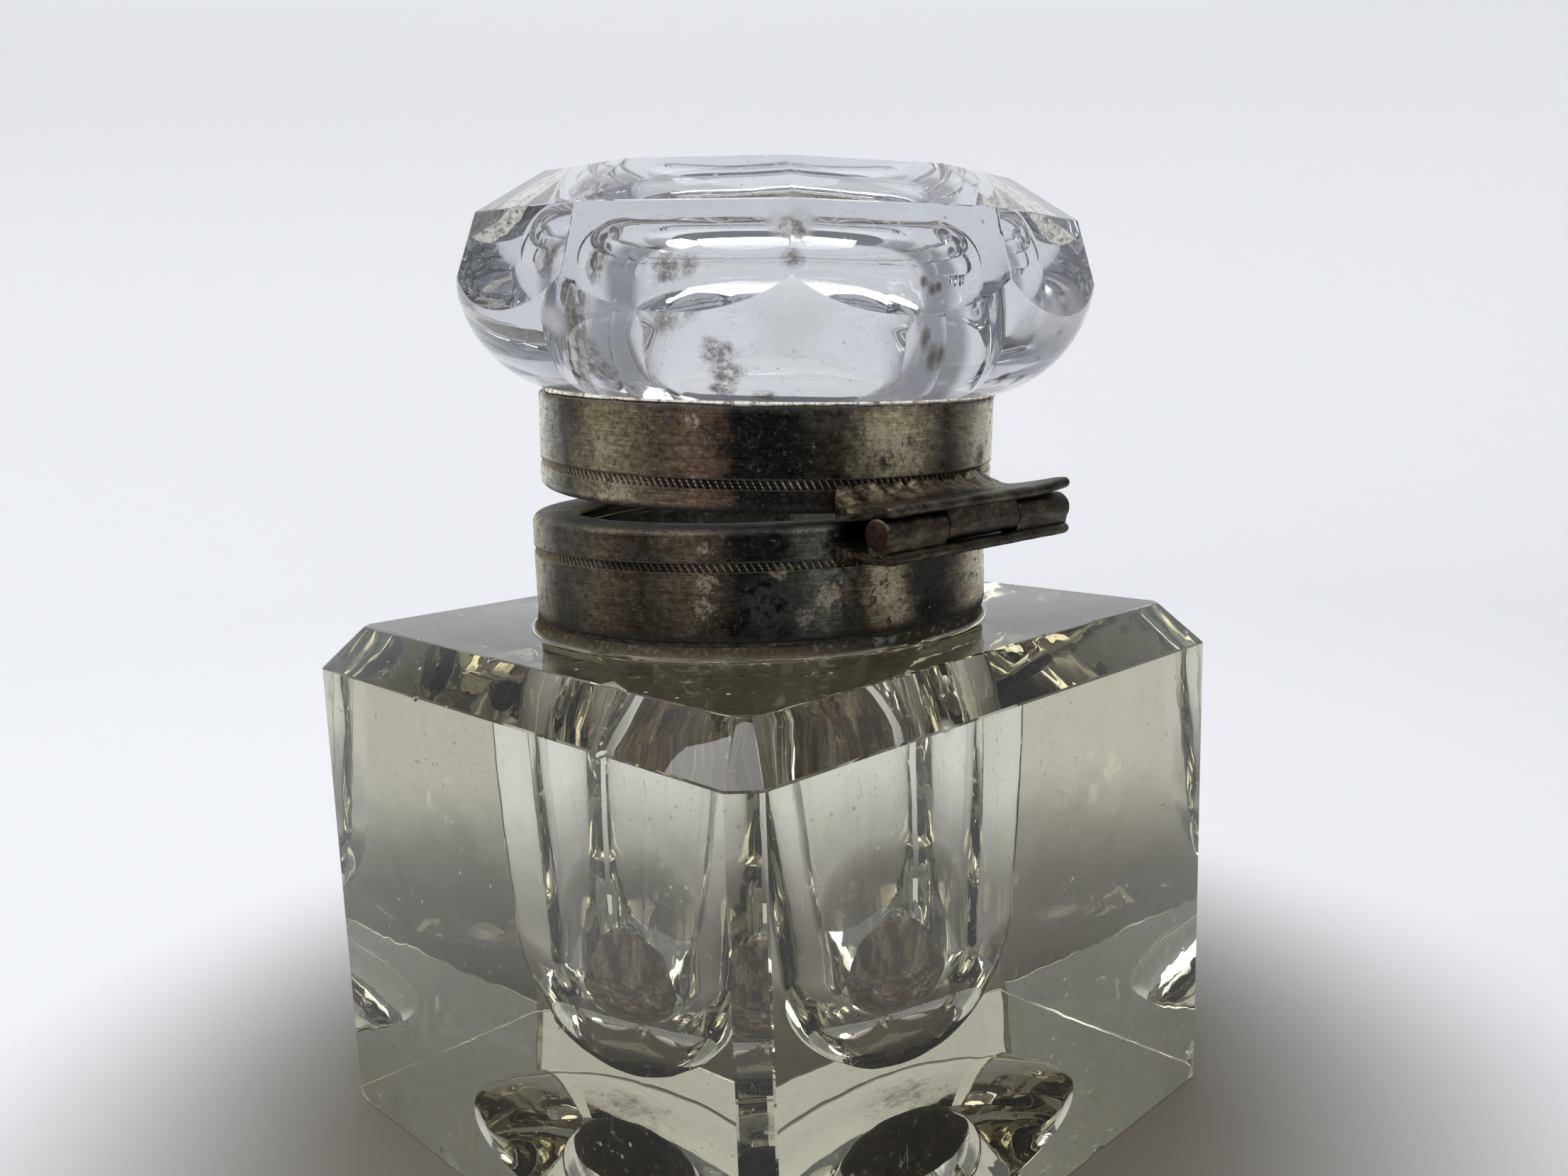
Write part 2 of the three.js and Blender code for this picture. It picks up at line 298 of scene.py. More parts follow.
def loft(sections):
    """A closed bmesh skin over rings of equal length, capped at both ends."""
    bm = bmesh.new()
    rings = [[bm.verts.new(p) for p in section] for section in sections]
    count = len(rings[0])
    for first, second in zip(rings, rings[1:]):
        for i in range(count):
            j = (i + 1) % count
            bm.faces.new((first[i], first[j], second[j], second[i]))
    for ring in (rings[0], rings[-1]):
        middle = bm.verts.new(sum((v.co for v in ring), Vector()) / count)
        for i in range(count):
            bm.faces.new((ring[i], ring[(i + 1) % count], middle))
    return bm


# ---- glass pieces


def cut_square(half, cut, z):
    """The corners of a square with cut corners."""
    points = []
    for turn in range(4):
        c, s = round(math.cos(turn * math.pi / 2)), round(math.sin(turn * math.pi / 2))
        for x, y in ((half, half - cut), (half - cut, half)):
            points.append((x * c - y * s, x * s + y * c, z))
    return points


def pressed_glass(angle, radius, z):
    """Slow ripples left in a moulded surface."""
    p = Vector((math.cos(angle) * 1.3, math.sin(angle) * 1.3, z * 0.09))
    return 0.09 * noise.noise(p) * min(1.0, radius / 8)


def build_block():
    """The glass block with its neck, ink well and ground hollow."""
    bm = hull(
        cut_square(BLOCK_HALF, CORNER_CUT, 0)
        + cut_square(BLOCK_HALF, CORNER_CUT, SHOULDER_TOP - BEVEL_DROP)
        + cut_square(BLOCK_HALF - BEVEL_INSET, TOP_CORNER_CUT, SHOULDER_TOP)
    )
    soften_edges(bm, 0.09)
    block = make_object("cut_glass_block", bm)
    fillet_r = SEAT_RADIUS + SEAT_FILLET
    neck = (
        [(0, SHOULDER_TOP - 2), (fillet_r, SHOULDER_TOP - 2)]
        + arc(fillet_r, SHOULDER_TOP + SEAT_FILLET, SEAT_FILLET, SEAT_FILLET, 270, 180, 8)
        + [(SEAT_RADIUS, SHOULDER_TOP + SEAT_HEIGHT), (NECK_RADIUS, SHOULDER_TOP + SEAT_HEIGHT)]
        + arc(NECK_RADIUS - NECK_LIP, NECK_TOP - NECK_LIP, NECK_LIP, NECK_LIP, 0, 90, 6)
        + [(0, NECK_TOP)]
    )
    combine(block, make_object("neck", revolve(neck)), "UNION")
    combine(block, make_object("well", revolve(well_profile(), wobble=pressed_glass)), "DIFFERENCE")
    combine(block, make_object("recess", revolve(recess_profile())), "DIFFERENCE")
    for centre, radii, turn in BLOCK_CHIPS:
        chip(block, centre, radii, turn, centre[0])
    shade(block, 20)
    return block


def well_profile():
    """The ink space: a bowl under a slightly tapered bore."""
    bowl = arc(0, WELL_WAIST_Z, WELL_WAIST, WELL_WAIST_Z - WELL_FLOOR_Z, 270, 360, 26)
    bowl[0] = (0, WELL_FLOOR_Z)
    wall_top = NECK_TOP - 12
    steps = 10
    wall = []
    for i in range(1, steps + 1):
        t = i / steps
        radius = WELL_WAIST + (WELL_MOUTH - WELL_WAIST) * math.sin(t * math.pi / 2)
        wall.append((radius, WELL_WAIST_Z + (wall_top - WELL_WAIST_Z) * t))
    return bowl + wall + [(WELL_MOUTH, NECK_TOP + 1), (0, NECK_TOP + 1)]


def recess_profile():
    """The ground hollow under the block."""
    edge = RECESS_RADIUS - RECESS_RIM
    rise = RECESS_DEPTH - RECESS_RIM_DEPTH
    ball = (edge ** 2 + rise ** 2) / (2 * rise)
    start = math.degrees(math.acos(edge / ball))
    dome = arc(0, RECESS_DEPTH - ball, ball, ball, start, 90, 24)
    return [(0, -1), (RECESS_RADIUS, -1), (RECESS_RADIUS, 0)] + dome[:-1] + [(0, RECESS_DEPTH)]


# Where flakes are missing from the block: centre, radii and turn.
BLOCK_CHIPS = (
    ((25.0, -25.0, 0.2), (1.5, 1.5, 1.9), 0.4),
    ((-25.2, 25.0, 1.6), (1.5, 1.3, 2.6), 0.9),
    ((-24.6, 25.3, 5.0), (0.8, 0.9, 1.5), 2.1),
    ((24.9, 24.9, 0.1), (0.9, 0.9, 0.7), 1.2),
    ((25.1, 12.6, 36.3), (0.25, 0.7, 0.3), 0.3),
    ((8.2, 25.1, 36.4), (0.6, 0.25, 0.3), 0.1),
    ((25.1, -9.0, 36.2), (0.2, 0.5, 0.25), 0.2),
    ((22.3, -3.0, 39.5), (0.3, 0.5, 0.2), 0.5),
    ((-6.0, 22.3, 39.5), (0.6, 0.3, 0.2), 0.1),
    ((25.1, 4.0, 0.0), (0.4, 0.9, 0.4), 0.1),
    ((-9.0, 25.1, 0.0), (1.0, 0.4, 0.4), 0.1),
    ((-25.1, -25.0, 0.0), (0.8, 0.8, 1.1), 0.7),
    ((-25.1, 6.0, 36.3), (0.25, 0.6, 0.3), 0.2),
)


def lid_outline(radius, z):
    """The ten corners of the lid at one height."""
    return [
        (
            LID_CENTRE[0] + radius * math.cos(LID_TURN + 2 * math.pi * i / LID_SIDES),
            LID_CENTRE[1] + radius * math.sin(LID_TURN + 2 * math.pi * i / LID_SIDES),
            z,
        )
        for i in range(LID_SIDES)
    ]


def lid_point(degrees, radius, z):
    """A point of the lid, by its direction from the front corner."""
    a = math.radians(FRONT + degrees)
    return (LID_CENTRE[0] + radius * math.cos(a), LID_CENTRE[1] + radius * math.sin(a), z)


def lid_spots(*rows):
    """Places and sizes on the lid, from rows of direction, radius, height and size."""
    return [(lid_point(degrees, radius, z), size) for degrees, radius, z, size in rows]


def build_lid_glass():
    """The hollow lid: facets cut into a round belly."""
    bm = hull(
        lid_outline(STUB_RADIUS + 1, STUB_BOTTOM - 1)
        + lid_outline(SKIRT_RADIUS, SKIRT_Z)
        + lid_outline(GIRDLE_RADIUS, GIRDLE_Z)
        + lid_outline(TABLE_RADIUS, TABLE_Z)
    )
    soften_edges(bm, 0.05)
    lid = make_object("cut_glass_lid", bm)
    lowest = -math.degrees(math.asin((BELLY_Z - UNDERSIDE_Z) / BELLY_CURVE))
    belly = (
        [(0, STUB_BOTTOM), (STUB_RADIUS, STUB_BOTTOM), (STUB_RADIUS, UNDERSIDE_Z)]
        + arc(BELLY_RADIUS - BELLY_CURVE, BELLY_Z, BELLY_CURVE, BELLY_CURVE, lowest, 0, 24)
        + [(BELLY_RADIUS, TABLE_Z + 1), (0, TABLE_Z + 1)]
    )
    combine(lid, make_object("belly", revolve(belly, 160, LID_CENTRE)), "INTERSECT")
    hollow = (
        [(0, STUB_BOTTOM - 1), (HOLLOW_RADIUS, STUB_BOTTOM - 1)]
        + arc(HOLLOW_RADIUS - HOLLOW_ROUND, HOLLOW_TOP - HOLLOW_ROUND, HOLLOW_ROUND, HOLLOW_ROUND, 0, 90, 12)
        + [(0, HOLLOW_TOP)]
    )
    combine(lid, make_object("hollow", revolve(hollow, 128, LID_CENTRE, wobble=pressed_glass)), "DIFFERENCE")
    for degrees, radius, z, radii in LID_CHIPS:
        chip(lid, lid_point(degrees, radius, z), radii, math.radians(FRONT + degrees), degrees)
    lid.matrix_world = LID_PLACE
    shade(lid, 16)
    return lid


# Flakes missing along the lower arcs of the lid's facets: direction, radius, height and radii.
LID_CHIPS = (
    (83.0, 22.85, 61.5, (0.4, 0.7, 0.35)),
    (87.0, 22.8, 61.2, (0.35, 0.8, 0.3)),
    (91.5, 22.75, 61.1, (0.4, 0.6, 0.4)),
    (95.0, 22.8, 61.3, (0.35, 0.7, 0.3)),
    (-40.0, 22.9, 60.6, (0.3, 0.5, 0.2)),
    (120.0, 23.1, 60.8, (0.4, 0.7, 0.3)),
)


# ---- collars


def collar_profile(radius, open_end, flange_end, band):
    """A collar's (radius, z) outline: wall with its milled groove, rounded shoulder and flange."""
    way = 1 if flange_end > open_end else -1
    first, last = (band[0], band[1]) if way > 0 else (band[1], band[0])
    shoulder = flange_end - way * COLLAR_ROUND
    inner = radius - COLLAR_WALL
    floor = radius - GROOVE
    outline = [(radius - 0.14, open_end), (radius - 0.04, open_end + way * 0.05)]
    outline += between((radius, open_end + way * 0.16), (radius, first - way * 0.05), 12)
    outline += [(radius, first - way * 0.05), (radius, first)]
    outline += between((floor, first + way * 0.03), (floor, last - way * 0.03), 5)
    outline += [(floor, last - way * 0.03), (radius, last)]
    outline += between((radius, last + way * 0.05), (radius, shoulder), 10)
    outline += [
        (radius - COLLAR_ROUND * (1 - math.cos(t)), shoulder + way * COLLAR_ROUND * math.sin(t))
        for t in (math.radians(step * 15) for step in range(7))
    ]
    outline += [
        (LIP_RADIUS + 1.4, flange_end),
        (LIP_RADIUS + 0.25, flange_end),
        (LIP_RADIUS + 0.06, flange_end - way * 0.08),
        (LIP_RADIUS, flange_end - way * 0.25),
        (LIP_RADIUS + 0.03, flange_end - way * (COLLAR_WALL - 0.15)),
        (LIP_RADIUS + 0.2, flange_end - way * COLLAR_WALL),
        (inner - 0.3, flange_end - way * COLLAR_WALL),
        (inner, flange_end - way * (COLLAR_WALL + 0.3)),
        (inner, open_end + way * 0.1),
        (inner + 0.12, open_end),
    ]
    return outline


def build_collar(name, centre, radius, open_end, flange_end, band, seed, marks, place=None):
    """A thin spun collar with a rolled, milled groove and the small dents of long use."""
    half_tooth = (band[1] - band[0]) / 2
    middle = (band[0] + band[1]) / 2

    def wobble(angle, r, z):
        if r < radius - COLLAR_WALL + 0.3:
            return 0.0
        push = 0.035 * ring_noise(angle, z, 2.2, seed) + 0.014 * ring_noise(angle, z * 6, 11, seed + 5)
        if r < radius - GROOVE * 0.6 and abs(z - middle) < half_tooth:
            phase = TEETH * angle + 2.2 * (z - middle) / half_tooth
            worn = 0.6 + 0.4 * smooth_step(ring_noise(angle, 0, 2.6, seed + 9), -0.32, 0.05)
            push -= TOOTH * worn * (0.5 + 0.5 * math.cos(phase))
        for degrees, height, size, depth in marks:
            across = math.radians(angle_gap(angle, degrees)) * radius
            push -= depth * math.exp(-(across ** 2 + (z - height) ** 2) / size ** 2)
        return push

    def lift(angle, r, z):
        edge = math.exp(-abs(z - open_end) / 0.35)
        return edge * (0.05 * ring_noise(angle, 0, 6, seed + 2) + 0.04 * ring_noise(angle, 0, 23, seed + 3))

    outline = collar_profile(radius, open_end, flange_end, band)
    bm = revolve(outline, TEETH * TOOTH_SAMPLES, centre, closed=True, wobble=wobble, lift=lift)
    return make_object(name, bm, place, smooth_deg=38)


# Dents in each collar: direction from the front corner in degrees, height, size and depth.
UPPER_DENTS = (
    (33.4, 53.1, 0.42, 0.16), (-22.0, 54.9, 0.5, 0.10), (-60.0, 52.6, 1.1, 0.08), (150.0, 52.0, 0.9, 0.12),
)
LOWER_DENTS = (
    (-31.0, 46.5, 0.5, 0.10), (26.0, 42.6, 0.8, 0.10), (76.0, 41.0, 0.7, 0.22), (-120.0, 43.5, 1.2, 0.12),
)


# ---- cement and dried ink


def build_lower_cement():
    """Plaster between neck and collar, with a dirty bead squeezed out under the collar."""
    seat = SHOULDER_TOP + SEAT_HEIGHT
    bore = NECK_RADIUS - 0.04
    wall = LOWER_RADIUS - COLLAR_WALL
    bead = LOWER_RADIUS - 0.16
    outline = (
        between((bore, seat - 0.03), (LOWER_RADIUS - 0.25, seat - 0.03), 5)
        + [(bead, seat + 0.02), (LOWER_RADIUS - 0.12, LOWER_BOTTOM - 0.12), (bead, LOWER_BOTTOM + 0.03)]
        + [(wall + 0.03, LOWER_BOTTOM + 0.1)]
        + between((wall + 0.03, LOWER_BOTTOM + 0.6), (wall + 0.03, LOWER_CEMENT_TOP - 0.1), 6)
        + between((wall, LOWER_CEMENT_TOP), (bore, LOWER_CEMENT_TOP), 4)
        + between((bore, LOWER_CEMENT_TOP - 0.2), (bore, seat + 0.4), 10)
    )

    def wobble(angle, r, z):
        outside = smooth_step(r, LOWER_RADIUS - 0.3, LOWER_RADIUS - 0.14)
        return outside * (0.10 * ring_noise(angle, z, 7, 31) + 0.09 * ring_noise(angle, z, 22, 37))

    def lift(angle, r, z):
        return 0.22 * ring_noise(angle, r, 6, 41) if z > LOWER_CEMENT_TOP - 0.4 else 0.0

    bm = revolve(outline, 360, LOWER_CENTRE, True, wobble, lift)
    return make_object("neck_plaster", bm, smooth_deg=50)


def build_upper_cement():
    """Plaster between lid glass and collar, with crumbs of it left in the open joint."""
    bore = STUB_RADIUS - 0.05
    wall = UPPER_RADIUS - COLLAR_WALL + 0.03
    outline = (
        between((bore, UPPER_CEMENT_BOTTOM), (wall, UPPER_CEMENT_BOTTOM), 4)
        + between((wall, UPPER_CEMENT_BOTTOM + 0.15), (wall, UPPER_TOP - 0.15), 6)
        + [(wall + 0.1, UPPER_TOP - 0.06), (wall + 0.55, UPPER_TOP - 0.02), (wall + 0.72, UPPER_TOP + 0.12)]
        + between((wall + 0.66, UNDERSIDE_Z + 0.04), (bore, UNDERSIDE_Z + 0.04), 5)
        + between((bore, UNDERSIDE_Z - 0.1), (bore, UPPER_CEMENT_BOTTOM + 0.25), 8)
    )

    def wobble(angle, r, z):
        crumb = smooth_step(r, wall + 0.3, wall + 0.6)
        return crumb * (0.30 * ring_noise(angle, z, 5, 51) + 0.22 * ring_noise(angle, z, 19, 57) - 0.08)

    def lift(angle, r, z):
        return 0.25 * ring_noise(angle, r, 7, 61) if z < UPPER_CEMENT_BOTTOM + 0.05 else 0.0

    centre = ((UPPER_CENTRE[0] + LID_CENTRE[0]) / 2, (UPPER_CENTRE[1] + LID_CENTRE[1]) / 2)
    return make_object("lid_plaster", revolve(outline, 360, centre, True, wobble, lift), LID_PLACE, 50)


def build_dried_ink():
    """The crust of dried ink at the bottom of the well."""
    bowl_height = WELL_WAIST_Z - WELL_FLOOR_Z
    steps = 16
    edge = 7.9
    thick = 0.75
    bed = 0.12

    def bowl(r):
        return WELL_WAIST_Z - bowl_height * math.sqrt(1 - (r / WELL_WAIST) ** 2)

    radii = [edge * i / steps for i in range(steps + 1)]
    under = [(r, bowl(r) - bed) for r in radii]
    over = [(r, bowl(r) + thick * math.sqrt(max(0.0, 1 - (r / edge) ** 2)) + 0.02) for r in reversed(radii)]

    def lift(angle, r, z):
        if z < bowl(r) - bed / 2:
            return 0.0
        x, y = r * math.cos(angle), r * math.sin(angle)
        return 0.28 * noise.noise(Vector((x, y, 7)) * 0.8) + 0.14 * noise.noise(Vector((x, y, 3)) * 2.6)

    def wobble(angle, r, z):
        return 0.5 * ring_noise(angle, 0, 2.4, 71) * smooth_step(r, 4, edge)

    return make_object("dried_ink", revolve(under + over, 96, wobble=wobble, lift=lift), smooth_deg=60)


# ---- hinge


def rounded_end(from_end, radius):
    """How far a rounded end has drawn in at this distance from it, as a part of its radius."""
    return 1 - math.sqrt(max(0.0, 1 - max(0.0, 1 - from_end / radius) ** 2))


def leaf_section(x, reach, inner_y, wall_y, low, high, fillet, up):
    """One slice of a hinge leaf across its width: rounded outer edge, solder fillet against the collar."""
    thick = high - low
    half = thick / 2
    points = []

    def solder(y):
        return fillet * max(0.0, 1 - (y - wall_y) / SOLDER_REACH) ** 1.8

    for i in range(9):
        t = math.radians(-90 + 22.5 * i)
        points.append(Vector((x, reach - half + half * math.cos(t), low + half + half * math.sin(t))))
    steps = 14
    across = [reach - half + (inner_y - reach + half) * i / steps for i in range(steps + 1)]
    points += [Vector((x, y, high + (solder(y) if up else 0))) for y in across]
    points += [Vector((x, y, low - (0 if up else solder(y)))) for y in reversed(across)]
    return points


def build_leaf(name, centre, radius, low, up, seed, place=None):
    """A hinge leaf with worn round edges, soldered to its collar."""
    high = low + LEAF_THICK
    sections = []
    ends = [0.012 * i for i in range(6)]
    stations = [-1 + s for s in ends] + [-0.93 + 0.031 * i for i in range(61)] + [0.94 + s for s in ends]
    for station in stations:
        x = station * KNUCKLE_END
        from_end = KNUCKLE_END - abs(x)
        reach = HINGE_Y + LEAF_REACH - LEAF_CORNER * rounded_end(from_end, LEAF_CORNER)
        reach += 0.05 * noise.noise(Vector((x * 0.55, seed, 0)))
        wall_y = centre[1] + math.sqrt(radius ** 2 - (x - centre[0]) ** 2) - 0.3
        inner_y = wall_y + (LEAF_END_Y - wall_y) * smooth_step(abs(x), 6.9, KNUCKLE_END + 0.6)
        pinch = 0.4 * LEAF_THICK * rounded_end(from_end, 0.22)
        lump = 0.6 * noise.noise(Vector((x * 0.5, seed, 4))) + 0.5 * noise.noise(Vector((x * 1.5, seed, 8)))
        fillet = ((1.25 if up else 0.75) + lump) * smooth_step(from_end, 0.0, 1.4)
        sections.append(leaf_section(x, reach, inner_y, wall_y, low + pinch, high - pinch, fillet, up))
    bm = loft(sections)
    for v in bm.verts:
        rough = noise.noise(v.co * 0.9 + Vector((seed, 0, 0)))
        rough += 0.5 * noise.noise(v.co * 2.6 + Vector((seed, 9, 0)))
        near_wall = smooth_step(v.co.y, HINGE_Y - 1.5, HINGE_Y - 4)
        v.co.z += (0.03 + 0.13 * near_wall) * rough
        end = smooth_step(abs(v.co.x), KNUCKLE_END - 0.6, KNUCKLE_END)
        v.co.x += 0.22 * end * noise.noise(Vector((v.co.y * 0.9, v.co.z * 1.3, seed + v.co.x)))
        if up:
            v.co.z -= LEAF_SLOPE * max(0.0, HINGE_Y + 0.3 - v.co.y)
            bent = smooth_step(-v.co.x, 5.5, KNUCKLE_END) * smooth_step(v.co.y, HINGE_Y - 4, HINGE_Y + 1)
            v.co.z += 0.30 * bent
    return make_object(name, bm, place, smooth_deg=42)


def build_knuckle(name, start, end, web_up, seed, place=None):
    """A hinge barrel with worn ends, run into its leaf by a web of solder."""
    web_half = 0.62
    web_reach = BARREL_RADIUS + LEAF_GAP + 0.2
    web_corner = math.atan2(web_half, web_reach)
    web_end = math.radians(62)
    direction = math.radians(90 if web_up else -90)
    around = 56
    length = end - start
    stations = [0, 0.03, 0.09, 0.18] + [0.18 + (length - 0.36) * i / 14 for i in range(1, 14)]
    stations += [length - 0.18, length - 0.09, length - 0.03, length]
    sections = []
    for along in stations:
        from_end = min(along, length - along)
        trim = 0.16 * rounded_end(from_end, 0.18)
        section = []
        for i in range(around):
            t = 2 * math.pi * i / around
            off = abs((t - direction + math.pi) % (2 * math.pi) - math.pi)
            x = start + along
            r = BARREL_RADIUS - trim
            r += 0.022 * noise.noise(Vector((x * 0.7, 2 * math.cos(t) + seed, 2 * math.sin(t))))
            if off < web_corner:
                r = web_reach / math.cos(off)
            elif off < web_end:
                s = (off - web_corner) / (web_end - web_corner)
                r += (web_reach / math.cos(web_corner) - r) * (1 - s) ** 2.2
            section.append(Vector((x, HINGE_Y + r * math.cos(t), HINGE_Z + r * math.sin(t))))
        sections.append(section)
    return make_object(name, loft(sections), place, smooth_deg=40)


def build_pin():
    """The hinge pin with its hammered ends."""
    sections = []
    head = 0.86
    shank = 0.42
    end = [(0.24, shank), (0.2, head - 0.04), (0.09, head), (0.03, 0.72), (0, 0.5)]
    profile = [(back - PIN_END, r) for back, r in reversed(end)] + [(-6, shank), (0, shank), (6, shank)]
    profile += [(PIN_END - back, r) for back, r in end]
    around = 40
    for x, r in profile:
        section = []
        for i in range(around):
            t = 2 * math.pi * i / around
            worn = r + 0.05 * noise.noise(Vector((x, 1.7 * math.cos(t), 1.7 * math.sin(t))))
            section.append(Vector((x, HINGE_Y + worn * math.cos(t), HINGE_Z + worn * math.sin(t))))
        sections.append(section)
    return make_object("hammered_pin", loft(sections), smooth_deg=35)


# ---- materials


class Finish:
    """Builds one material; every value given is a number, a colour or another node's output."""

    def __init__(self, name):
        self.material = bpy.data.materials.new(name)
        self.material.use_nodes = True
        self.tree = self.material.node_tree
        self.shader = self.tree.nodes["Principled BSDF"]
        self.output = self.tree.nodes["Material Output"]
        place = self.tree.nodes.new("ShaderNodeTexCoord").outputs["Object"]
        self.mm = self.node("ShaderNodeVectorMath", {0: place, 3: 1 / MM}, 0, operation="SCALE")
        apart = self.tree.nodes.new("ShaderNodeSeparateXYZ")
        self.put(apart.inputs[0], self.mm)
        self.x, self.y, self.z = apart.outputs

    def put(self, socket, value):
        if isinstance(value, bpy.types.NodeSocket):
            self.tree.links.new(value, socket)
        elif socket.type == "RGBA":
            socket.default_value = colour(value)
        else:
            socket.default_value = value

    def node(self, kind, inputs, output=0, **settings):
        made = self.tree.nodes.new(kind)
        for key, value in settings.items():
            setattr(made, key, value)
        for key, value in inputs.items():
            self.put(made.inputs[key], value)
        return made.outputs[output]

    def math(self, operation, a, b=0.0, clamp=False):
        return self.node("ShaderNodeMath", {0: a, 1: b}, operation=operation, use_clamp=clamp)

    def times(self, a, b, clamp=False):
        return self.math("MULTIPLY", a, b, clamp)

    def plus(self, a, b, clamp=False):
        return self.math("ADD", a, b, clamp)

    def minus(self, a, b):
        return self.math("SUBTRACT", a, b)

    def most(self, a, b):
        return self.math("MAXIMUM", a, b)

    def noise(self, scale, detail=4.0, rough=0.55, vector=None):
        inputs = {"Vector": vector or self.mm, "Scale": scale, "Detail": detail, "Roughness": rough}
        return self.node("ShaderNodeTexNoise", inputs)

    def stretched(self, sx, sy, sz, shift=0.0):
        return self.node("ShaderNodeMapping", {0: self.mm, 1: (shift, shift, shift), 3: (sx, sy, sz)})

    def cells(self, scale):
        return self.node("ShaderNodeTexVoronoi", {"Vector": self.mm, "Scale": scale}, "Distance")

    def rise(self, value, low, high):
        """0 below low, 1 above high and smooth between; falls instead when low is above high."""
        low, high, flip = min(low, high), max(low, high), low > high
        inputs = {0: value, 1: low, 2: high, 3: float(flip), 4: float(not flip)}
        return self.node("ShaderNodeMapRange", inputs, interpolation_type="SMOOTHSTEP")

    def band(self, value, low, high, soft):
        """1 between low and high, with soft edges."""
        return self.times(self.rise(value, low - soft, low), self.rise(value, high + soft, high))

    def ramp(self, value, stops):
        made = self.tree.nodes.new("ShaderNodeValToRGB")
        self.put(made.inputs[0], value)
        elements = made.color_ramp.elements
        while len(elements) < len(stops):
            elements.new(0.5)
        for element, (place, _) in zip(elements, stops):
            element.position = place
        for element, (_, shade_) in zip(elements, stops):
            element.color = colour(shade_)
        return made.outputs[0]

    def mix(self, amount, a, b, blend="MIX"):
        return self.node("ShaderNodeMix", {0: amount, 6: a, 7: b}, 2, data_type="RGBA", blend_type=blend)

    def spot(self, centre, radius):
        """1 at a point, fading to 0 at radius (mm)."""
        away = self.node("ShaderNodeVectorMath", {0: self.mm, 1: centre}, 1, operation="DISTANCE")
        return self.rise(away, radius, radius * 0.25)

    def spots(self, places):
        total = None
        for centre, radius in places:
            one = self.spot(centre, radius)
            total = one if total is None else self.most(total, one)
        return total

    def bump(self, height, strength, distance_mm):
        inputs = {"Height": height, "Strength": strength, "Distance": distance_mm * MM}
        return self.node("ShaderNodeBump", inputs)

    def reach(self, centre):
        """Distance from a vertical axis."""
        off = self.node("ShaderNodeVectorMath", {0: self.mm, 1: (*centre, 0)}, 0, operation="SUBTRACT")
        flat = self.node("ShaderNodeVectorMath", {0: off, 1: (1, 1, 0)}, 0, operation="MULTIPLY")
        return self.node("ShaderNodeVectorMath", {0: flat}, 1, operation="LENGTH")

    def turn(self, centre):
        """How far round the piece a point is: 0.5 faces the front corner, and 1/360 is one degree."""
        along, across = self.minus(self.x, centre[0]), self.minus(self.y, centre[1])
        angle = self.minus(self.math("ARCTAN2", across, along), math.radians(FRONT))
        part = self.math("DIVIDE", angle, 2 * math.pi)
        wrapped = self.node("ShaderNodeMath", {0: part, 1: 0.5, 2: -0.5}, operation="WRAP")
        return self.plus(wrapped, 0.5)


def colour(value):
    """A colour of four parts from a grey or a colour of three."""
    if isinstance(value, (int, float)):
        return (value, value, value, 1)
    return (*value, 1)


# Dried dirt on glass, from its darkest to its palest.
OLD_DIRT = ((0.30, (0.015, 0.009, 0.006)), (0.5, (0.11, 0.075, 0.05)), (0.68, (0.42, 0.36, 0.29)))


